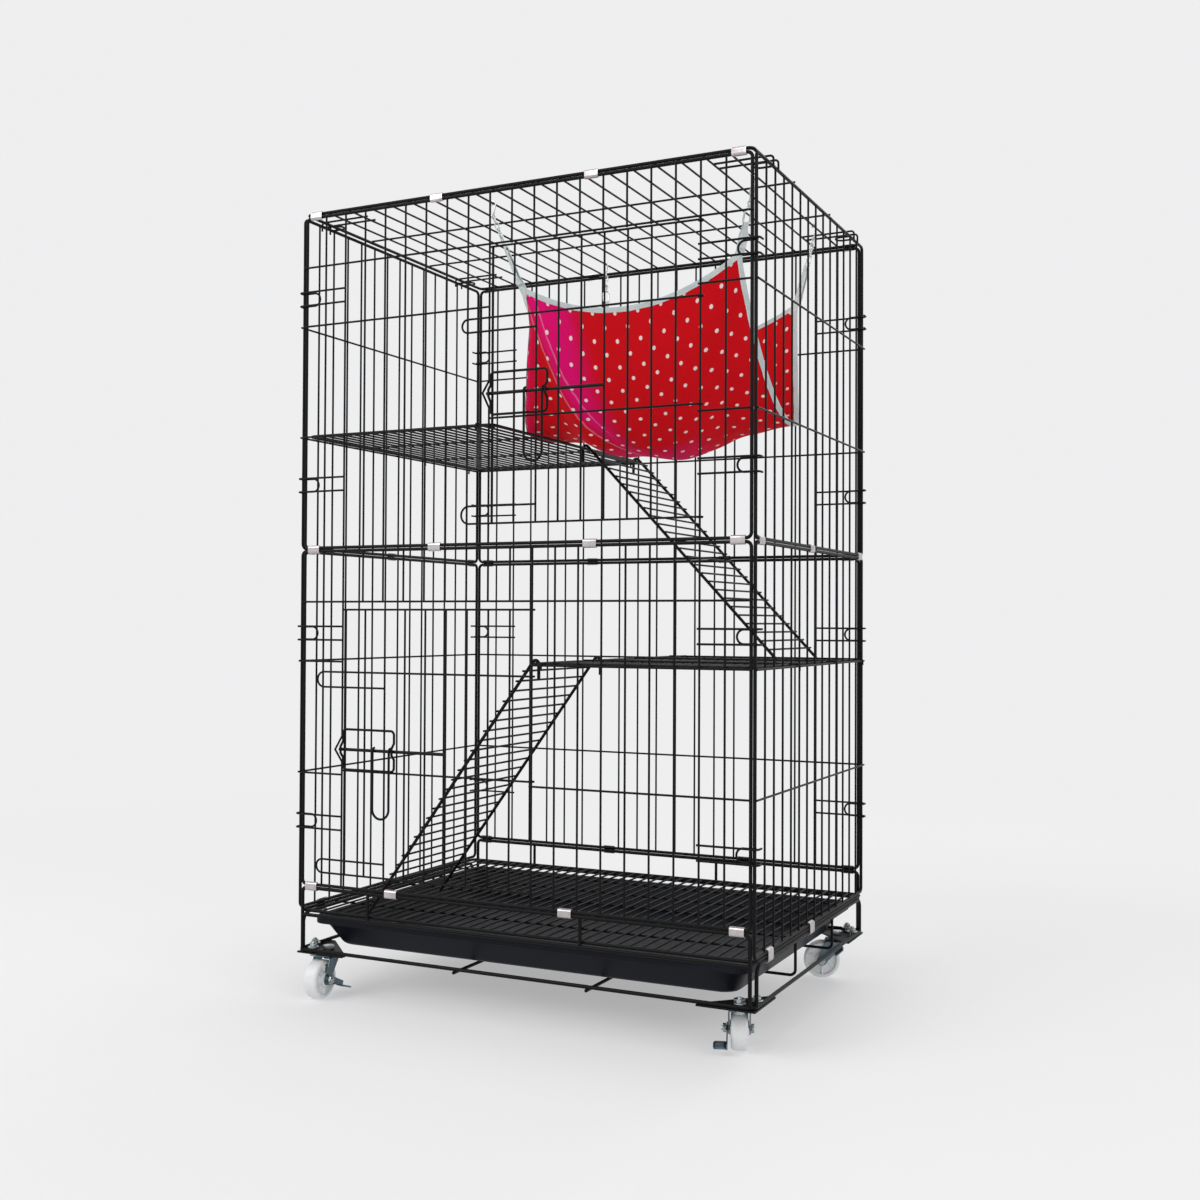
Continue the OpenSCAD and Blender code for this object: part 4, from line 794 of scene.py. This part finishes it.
def unroll(made, across, along):
    """UV map in metres from one value of each grid point across and one along the cloth."""
    layer = made.data.uv_layers.new(name="cut")
    corner_of = np.zeros(len(made.data.loops), np.int32)
    made.data.loops.foreach_get("vertex_index", corner_of)
    both = np.stack([np.ravel(across), np.ravel(along)], -1)[corner_of]
    layer.uv.foreach_set("vector", both.reshape(-1).astype(np.float32))


unroll(cloth, cloth_u * CUT[0], cloth_v * CUT[1])
CLOTH_THICK = 0.9
finer = cloth.modifiers.new("finer", "SUBSURF")
finer.levels = finer.render_levels = 1
skin = cloth.modifiers.new("thickness", "SOLIDIFY")
skin.thickness, skin.offset = CLOTH_THICK / 1000, 0


def dotted_cotton():
    """Red plain weave cotton with small white dots printed in a staggered grid, paler lint on the
    threads, a painted magenta light along the creased left side, its hem and the belly, and paler pink lines
    along two creases."""
    cotton = Finish("red dotted cotton")
    uv, across, along = cotton.unrolled()
    waver = cotton.noise(90.0, 2.0, at=uv)

    def dots(shift):
        a = cotton.math("FRACT", (across + waver * 0.0006) / 0.033 + shift) - 0.5
        b = cotton.math("FRACT", (along + waver * 0.0006) / 0.027 + shift) - 0.5
        far = cotton.math("SQRT", (a * 0.033) ** 2.0 + (b * 0.027) ** 2.0)
        return cotton.step(far, 0.0026, 0.0020)

    dot = cotton.math("MAXIMUM", dots(0.3), dots(0.8))
    warp = cotton.math("SINE", across * (2 * np.pi / 0.00075))
    weft = cotton.math("SINE", along * (2 * np.pi / 0.00075))
    over = cotton.math("MULTIPLY", warp, weft)
    lint = cotton.patches(0.5, 0.8, 520.0, 4.0, 0.7, at=uv)
    broad = cotton.noise(9.0, 3.0, 0.55, at=uv)
    past_crease = across - along * 0.62
    # fan, hem and belly mark where a magenta light is painted: over the creased left side, along the left hem
    # and in the belly.
    fan = cotton.step(past_crease, -0.002, 0.012) * cotton.step(across - along * 0.30, 0.094, 0.046)
    streaks = cotton.noise(1.0, 4.0, 0.6, at=cotton.node("CombineXYZ", None, {
        0: past_crease * 150.0, 1: along * 9.0}))
    hem = cotton.step(across, 0.030, 0.004) * 0.5
    belly = cotton.near(along - 0.235, 0.060, 0.020) * cotton.near(across - 0.145, 0.090, 0.030) * 0.5
    magenta_light_area = (fan + hem) * cotton.step(along, 0.34, 0.20) + belly
    painted_magenta_light = cotton.math("MINIMUM", magenta_light_area * (0.45 + streaks), 1.0)
    bend = past_crease + (waver - 0.5) * 0.004
    pressed = cotton.near(bend, 0.0024, 0.0003) * cotton.step(along, 0.30, 0.22)
    beside = cotton.near(bend - 0.017, 0.0018, 0.0002) * cotton.step(along, 0.17, 0.11)
    red = cotton.blend((0.56, 0.0012, 0.005), (0.68, 0.0022, 0.009), broad)
    # Painted magenta light blended over the red, broken up by streaks.
    red = cotton.blend(red, (0.74, 0.002, 0.160), painted_magenta_light)
    red = cotton.blend(red, (0.78, 0.05, 0.08), lint * 0.12)
    red = cotton.blend(red, (0.86, 0.30, 0.46), (pressed + beside) * 0.42)
    white = cotton.blend((0.86, 0.80, 0.79), (0.95, 0.93, 0.91), cotton.noise(300.0, 3.0, at=uv))
    colour = cotton.blend(red, white, dot * (0.80 + over * 0.08))
    weave = cotton.bump(over + lint * 0.6, 0.00012, 0.55)
    wrinkle = cotton.bump(cotton.noise(38.0, 4.0, 0.55, at=uv), 0.0011, 0.45, under=weave)
    return cotton.set(Base_Color=colour, Roughness=0.84 + lint * 0.1, Sheen_Weight=0.07, Sheen_Roughness=0.45,
                      Sheen_Tint=(1.0, 0.3, 0.35), Specular_IOR_Level=0.12, Normal=wrinkle)


enter(cloth, "cage", "hammock_cloth", dotted_cotton())

# Binding: a pale tape folded over the cloth's raw edge all round and sewn through
# with one row of stitches. Four lengths that overlap at the corners.
TAPE = 0.0060
TAPE_PLY = 0.00045


def folded_tape(edge, inward, out_of, first):
    """Closed tape round an edge: its section, in distances into the cloth and off its face, is carried
    along the edge's points. Returns the points and the section's ways across the tape."""
    lift = CLOTH_THICK / 2000 + TAPE_PLY
    inner = CLOTH_THICK / 2000 + 0.00006
    side = np.array([[TAPE, lift * 0.98], [TAPE * 0.75, lift * 1.05], [TAPE * 0.45, lift * 1.1],
                     [0.0004, lift], [-0.0007, lift * 0.45]])
    section = np.vstack([side, side[::-1] * (1, -1), [[TAPE + 0.0002, -inner], [0.0012, -inner],
                                                      [0.0012, inner], [TAPE + 0.0002, inner]]])
    gather = 1 + 0.10 * np.sin(np.arange(len(edge)) * 1.9 + first) * np.sin(np.arange(len(edge)) * 0.83)
    points = (edge[:, None] + section[None, :, :1] * gather[:, None, None] * inward[:, None]
              + section[None, :, 1:] * gather[:, None, None] * out_of[:, None])
    return points, section[:, 0]


def woven(name, bands, ends):
    """One mesh from closed bands. Each has a grid of points in metres, the way across it at each column
    and the way along it at each row, for the UV map. ends are the faces that close a band's section."""
    points, faces, across, along, first = [], [], [], [], 0
    for grid, way, run in bands:
        rows, columns = grid.shape[:2]
        points.append(grid.reshape(-1, 3))
        faces.append(grid_faces(rows, columns, loop_columns=True, first=first))
        faces += [ends + first + row * columns for row in (0, rows - 1)]
        across.append(np.tile(way, rows))
        along.append(np.repeat(run, columns))
        first += rows * columns
    made = add_mesh(name, np.vstack(points), np.vstack(faces))
    unroll(made, np.concatenate(across), np.concatenate(along))
    drop_twins(made, 1e-7)
    return made


def length_so_far(path):
    """Distance from a path's start to each of its points, along the path."""
    return np.concatenate([[0], np.cumsum(np.linalg.norm(np.diff(path, axis=0), axis=1))])


TAPE_END = np.array([[13, 0, 1, 2], [13, 2, 3, 12], [12, 3, 4, 11], [11, 4, 5, 6], [11, 6, 7, 10],
                     [10, 7, 8, 9]])
faces_in = grid_normals(cloth_grid)
bands, gathered = [], 0
for edge, next_in, normal in (
        (cloth_grid[0], cloth_grid[1], faces_in[0]),
        (cloth_grid[-1], cloth_grid[-2], faces_in[-1]),
        (cloth_grid[:, 0], cloth_grid[:, 1], faces_in[:, 0]),
        (cloth_grid[:, -1], cloth_grid[:, -2], faces_in[:, -1])):
    along_edge = unit(np.gradient(edge, axis=0))
    inward = next_in - edge
    inward = inward - (inward * along_edge).sum(1, keepdims=True) * along_edge
    points, way = folded_tape(edge, unit(inward), normal, gathered * 0.1)
    bands.append((points, way, length_so_far(edge)))
    gathered += points.shape[0] * points.shape[1]
tape = woven("hammock_edge_binding", bands, TAPE_END)
softer = tape.modifiers.new("softer", "SUBSURF")
softer.levels = softer.render_levels = 1


def cotton_tape(stitch_at):
    """Herringbone tape: slanting threads that change side along the middle, one row of stitches."""
    band = Finish("pale binding tape")
    light, dark = (0.60, 0.65, 0.65), (0.42, 0.48, 0.485)
    uv, across, along = band.unrolled()
    slant = band.math("SINE", (along + band.size(across - stitch_at)) * (2 * np.pi / 0.0009))
    cross = band.math("SINE", across * (2 * np.pi / 0.0006))
    soil = band.patches(0.38, 0.72, 28.0, 5.0, 0.6, at=uv)
    beat = band.near(band.math("FRACT", along / 0.0042) - 0.5, 0.40, 0.34)
    thread = beat * band.near(across - stitch_at, 0.00042, 0.0002)
    ground = band.blend(light, dark, soil * 0.5 + slant * 0.08 + 0.1)
    colour = band.blend(ground, (0.80, 0.83, 0.82), thread * 0.8)
    height = slant * 0.5 + cross * 0.3 + thread * 1.6
    return band.set(Base_Color=colour, Roughness=0.86 - thread * 0.2, Sheen_Weight=0.15, Sheen_Roughness=0.5,
                    Specular_IOR_Level=0.25, Normal=band.bump(height, 0.00013, 0.6))


tape.data.materials.append(cotton_tape(0.0050))
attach(tape, "cage")

# Straps: 11 mm pale webbing, each passed through a snap hook's loop and folded back.
# The outer ply ends above the cloth's tip and the inner one is sewn on inside it.
HANGERS = np.array([[-60.0, -157], [270, -130], [270, 105], [-60, 165]])
TIPS = np.array([FRONT_TIPS[0], FRONT_TIPS[1], BACK_TIPS[1], BACK_TIPS[0]])
WIRE_Z, EYE_Z = 994.45, 978.25
eyes = np.column_stack([HANGERS, np.full(4, EYE_Z)])
lines = eyes - TIPS
reaches = np.linalg.norm(lines, axis=1)
STRAP_ENDS = reaches - 44.1  # where the snap hook starts on each line
STRAP_HALF = 5.4


def line_axes(k):
    """Three unit vectors of a hanger: across the strap's face, along its width, and up the line."""
    up = lines[k] / reaches[k]
    wide = np.array([-lines[k][1], lines[k][0], 0]) / np.hypot(lines[k][0], lines[k][1])
    return np.cross(wide, up), wide, up


def on_line(points, k):
    """Carries points from a hanger's own frame, Z up its line from the cloth's tip, to the cage."""
    face, wide, up = line_axes(k)
    p = np.asarray(points, float)
    return TIPS[k] + p[..., :1] * face + p[..., 1:2] * wide + p[..., 2:3] * up


def webbing_loop(k):
    """One strap as a closed band. Its path runs from just above the cloth's tip up to the snap hook,
    round the hook's wire and down to the cloth's inner face; its width narrows where it is gathered in
    the hook, and its face turns smoothly from the cloth's corner to the hanger's line."""
    face, wide, up = line_axes(k)
    row, column = ((0, 0), (0, -1), (-1, -1), (-1, 0))[k]
    step_r, step_c = (4 if row == 0 else -5), (4 if column == 0 else -5)
    inner = cloth_grid[step_r, step_c] * 1000
    diagonal = unit(TIPS[k] - inner)
    off = faces_in[1 if row == 0 else -2, 1 if column == 0 else -2]
    if np.dot(off, face) < 0:
        off = -off
    top = STRAP_ENDS[k]
    z = np.concatenate([np.linspace(-17, 0, 7), np.linspace(2.5, top - 6, 12),
                        np.linspace(top - 4.5, top + 1.4, 7)])
    turn = smooth(np.clip((z + 2) / 16, 0, 1)[:, None])
    line = np.where(z[:, None] < 0, diagonal, up)
    centre = TIPS[k] + line * z[:, None]
    normal = unit(off * (1 - turn) + face * turn)
    across = unit(np.cross(line, normal))
    if np.dot(across[-1], wide) < 0:
        across = -across
    gather = np.clip((z - top + 12) / 10, 0, 1)
    half_wide = STRAP_HALF - 2.3 * smooth(gather)
    spread = np.clip((z - top + 6) / 5, 0, 1)
    apart = 1.05 + 0.9 * smooth(spread)
    bow = 0.45 * np.sin(np.clip(z / max(top, 1), 0, 1) * np.pi)
    over = np.radians(np.linspace(20, 160, 7))
    outer = z > 1
    off_line = normal * (apart + bow)[:, None]
    bend = up * (z[-1] + np.sin(over) * apart[-1])[:, None] + face * (np.cos(over) * apart[-1])[:, None]
    path = np.vstack([(centre + off_line)[outer], TIPS[k] + bend, (centre - off_line)[::-1]])
    across = np.vstack([across[outer], np.repeat(across[-1:], len(over), 0), across[::-1]])
    half_wide = np.concatenate([half_wide[outer], np.full(len(over), half_wide[-1]), half_wide[::-1]])
    thick = unit(np.cross(across, unit(np.gradient(path, axis=0))))
    under = np.array([[-1, -0.20], [-0.97, -0.40], [-0.5, -0.44], [0, -0.45], [0.5, -0.44], [0.97, -0.40],
                      [1, -0.20]])
    section = np.vstack([under, under[::-1] * (1, -1)])
    pucker = 0.35 * np.cos(section[:, 0] * 2.5 * np.pi) * (1 - half_wide / STRAP_HALF)[:, None] * 2
    grid = (path[:, None] + section[None, :, :1] * half_wide[:, None, None] * across[:, None]
            + (section[None, :, 1:] * 0.9 + pucker[..., None] * 0.5) * thick[:, None])
    return grid, path, section[:, 0] * 7.0


bands = []
for k in range(4):
    grid, path, way = webbing_loop(k)
    run = length_so_far(path)
    bands.append((grid / 1000, way / 1000, np.minimum(run, run[-1] - run) / 1000))
turn = np.arange(14)
strap_end = np.stack([turn[0:6], turn[1:7], turn[12:6:-1], turn[13:7:-1]], -1)
straps = woven("hammock_webbing_straps", bands, strap_end)
crisp(straps, 50)


def ribbed_webbing():
    """Webbing: ribs across it, fine lengthwise threads, plain selvedges and a sewn box with a cross
    where it is stitched through the cloth's corner."""
    band = Finish("pale webbing")
    uv, across, along = band.unrolled()
    ribs = band.math("SINE", along * (2 * np.pi / 0.0016))
    threads = band.math("SINE", across * (2 * np.pi / 0.0009))
    rim = band.near(across, 0.0055, 0.0066)
    soil = band.patches(0.4, 0.75, 60.0, 5.0, 0.6, at=uv)
    side = band.near(band.size(across) - 0.0048, 0.0005, 0.0002)
    ends = band.near(band.size(along - 0.0080) - 0.0062, 0.0005, 0.0002)
    cross = band.near(band.size(across) * 1.29 - band.size(along - 0.0080), 0.0006, 0.0002)
    inside = band.near(along - 0.0080, 0.0067, 0.0063) * band.near(across, 0.0053, 0.0050)
    dash = band.near(band.math("FRACT", (along + across) / 0.0026) - 0.5, 0.42, 0.36)
    sewn = band.math("MINIMUM", side + ends + cross, 1.0) * inside * dash
    ground = band.blend((0.66, 0.71, 0.71), (0.46, 0.53, 0.54), soil * 0.45 + ribs * 0.06 + 0.08)
    colour = band.blend(ground, (0.86, 0.88, 0.87), sewn * 0.9)
    height = ribs * (1 - rim) + threads * 0.35 + sewn * 1.4
    return band.set(Base_Color=colour, Roughness=0.78 + rim * 0.08, Sheen_Weight=0.15, Sheen_Roughness=0.45,
                    Specular_IOR_Level=0.3, Normal=band.bump(height, 0.00018, 0.6))


enter(straps, "cage", "hammock_straps", ribbed_webbing())

# Snap hooks: a closed loop of bent wire, set in a turned barrel with a ring on top that
# the chain starts from. Nickel plated.


def bent_wire(path, radius, flat_normal, closed=False, sides=12):
    """Round wire along a path that lies in a plane: circles square to the path, built on the plane's
    normal and the path's side direction. Open ends are rounded over in two smaller rings."""
    path = np.asarray(path, float)
    if closed:
        ahead = np.roll(path, -1, 0) - np.roll(path, 1, 0)
    else:
        ahead = np.gradient(path, axis=0)
    ahead = unit(ahead)
    flat_normal = np.broadcast_to(np.asarray(flat_normal, float), path.shape)
    side = unit(np.cross(ahead, flat_normal))
    size = np.full(len(path), radius)
    if not closed:
        tip = np.array([[1.0], [0.7], [0.0]]) * radius
        path = np.vstack([path[0] - ahead[0] * tip, path[1:-1], path[-1] + ahead[-1] * tip[::-1]])
        size = np.concatenate([[0, 0.71, 1], np.ones(len(size) - 2), [1, 0.71, 0]]) * radius
        side, flat_normal = [np.concatenate([np.repeat(v[:1], 3, 0), v[1:-1], np.repeat(v[-1:], 3, 0)])
                             for v in (side, flat_normal)]
    a = once_round(sides)
    return (path[:, None] + size[:, None, None] * (np.cos(a)[None, :, None] * flat_normal[:, None]
                                                   + np.sin(a)[None, :, None] * side[:, None]))


def arc(centre, radius, start, stop, count, plane):
    """Points on a circle in a plane, which is the pair of axes that the angle turns between."""
    a = np.radians(np.linspace(start, stop, count))
    out = np.zeros((count, 3))
    out[:, plane[0]] = np.cos(a) * radius
    out[:, plane[1]] = np.sin(a) * radius
    return out + centre


def nickel():
    """Nickel plate: bright, faintly yellow, with tarnish in soft patches and hairline scratches."""
    shine = Finish("nickel plated wire")
    place = shine.here()
    tarnish = shine.patches(0.42, 0.7, 240.0, 5.0, 0.6)
    lines = shine.node("Mapping", None, {"Vector": place, "Scale": (2400.0, 2400.0, 160.0)})
    hair = shine.patches(0.6, 0.7, 1.0, 3.0, 0.6, at=lines)
    colour = shine.blend((0.62, 0.65, 0.645), (0.36, 0.39, 0.39), tarnish * 0.5)
    return shine.set(Base_Color=colour, Metallic=0.95, Roughness=0.22 + tarnish * 0.2 + hair * 0.08,
                     Normal=shine.bump(hair, 0.00002, 0.3))


nickel_plate = nickel()
EYE_R, LINK_WIRE, SNAP_L = 2.3, 0.9, 24.0
snap_path = np.vstack([arc((0, 0, 5.3), 4, 180, 360, 13, (1, 2)),
                       arc((0, 0, SNAP_L - 9), 4, 0, 180, 13, (1, 2))])
BARREL = np.array([[0, -6], [2.0, -6], [2.4, -5.4], [2.4, -3.6], [1.9, -3.2], [1.9, -2.6], [2.4, -2.2],
                   [2.4, -0.6], [1.8, 0], [0, 0]])
snap_barrel = fillet(BARREL + (0, SNAP_L), [0] + [0.2] * 8 + [0], 3)
ring_path = arc((0, 0, SNAP_L + EYE_R), EYE_R, 0, 360, 25, (1, 2))[:-1]
wires, turned_parts = [], []
for k in range(4):
    lift = STRAP_ENDS[k] + 0.3
    face = line_axes(k)[0]
    wires.append(bent_wire(on_line(snap_path + (0, 0, lift), k), 1.3, face, closed=True, sides=14))
    wires.append(bent_wire(on_line(ring_path + (0, 0, lift), k), LINK_WIRE, face, closed=True))
    turned_parts.append(on_line(turned(snap_barrel, 24) + (0, 0, lift), k))
fit("hammock_snap_hooks", turned_parts, 50, "hammock_metal", "cage", "hammock_snaps", nickel_plate,
    tubes=wires, merge=1e-6)

# Chains: two oval links of 1.8 mm wire between each snap hook's ring and its roof
# hook, every link turned square to the next. Nickel plated.
LINK_HALF = 2.5
link_path = np.vstack([arc((0, 0, LINK_HALF), EYE_R, 0, 180, 11, (1, 2)),
                       arc((0, 0, -LINK_HALF), EYE_R, 180, 360, 11, (1, 2))])
link_turned = link_path[:, [1, 0, 2]]
links = []
for k in range(4):
    face, wide, _ = line_axes(k)
    for i, (path, normal) in enumerate(((link_path, face), (link_turned, wide))):
        place = on_line(path + (0, 0, reaches[k] - 5.0 - 7.5 * i), k)
        links.append(bent_wire(place, LINK_WIRE, normal, closed=True))
fit("hammock_chain_links", [], 50, "hammock_metal", "cage", "hammock_chains", nickel_plate,
    tubes=links, merge=1e-6)

# Roof hooks: 1.8 mm wire bent over a roof wire, its shank led back to the middle and
# closed in a round eye below. They are only hung on. Nickel plated.
HOOK_R = 2.45
hook_wires, hook_eyes = [], []
for k, (x, y) in enumerate(HANGERS):
    top = np.array([x, y, WIRE_Z])
    wide = line_axes(k)[1]
    level = np.cross(wide, (0, 0, 1))
    shank = top + [[HOOK_R, 0, -2.5], [HOOK_R * 0.92, 0, -5], [HOOK_R * 0.5, 0, -9.4], [0.1, 0, -13.9]]
    path = np.vstack([arc(top, HOOK_R, 215, 0, 18, (0, 2)), shank])
    hook_wires.append(bent_wire(path, LINK_WIRE, (0, 1, 0)))
    eye = arc((0, 0, 0), EYE_R, 0, 360, 25, (0, 1))[:-1]
    eye = eyes[k] + eye[:, :1] * level + eye[:, 1:2] * (0, 0, 1)
    hook_eyes.append(bent_wire(eye, LINK_WIRE, wide, closed=True))
fit("hammock_roof_hooks", hook_wires, 50, "hammock_metal", "cage", "hammock_hooks", nickel_plate,
    tubes=hook_eyes, merge=1e-6)
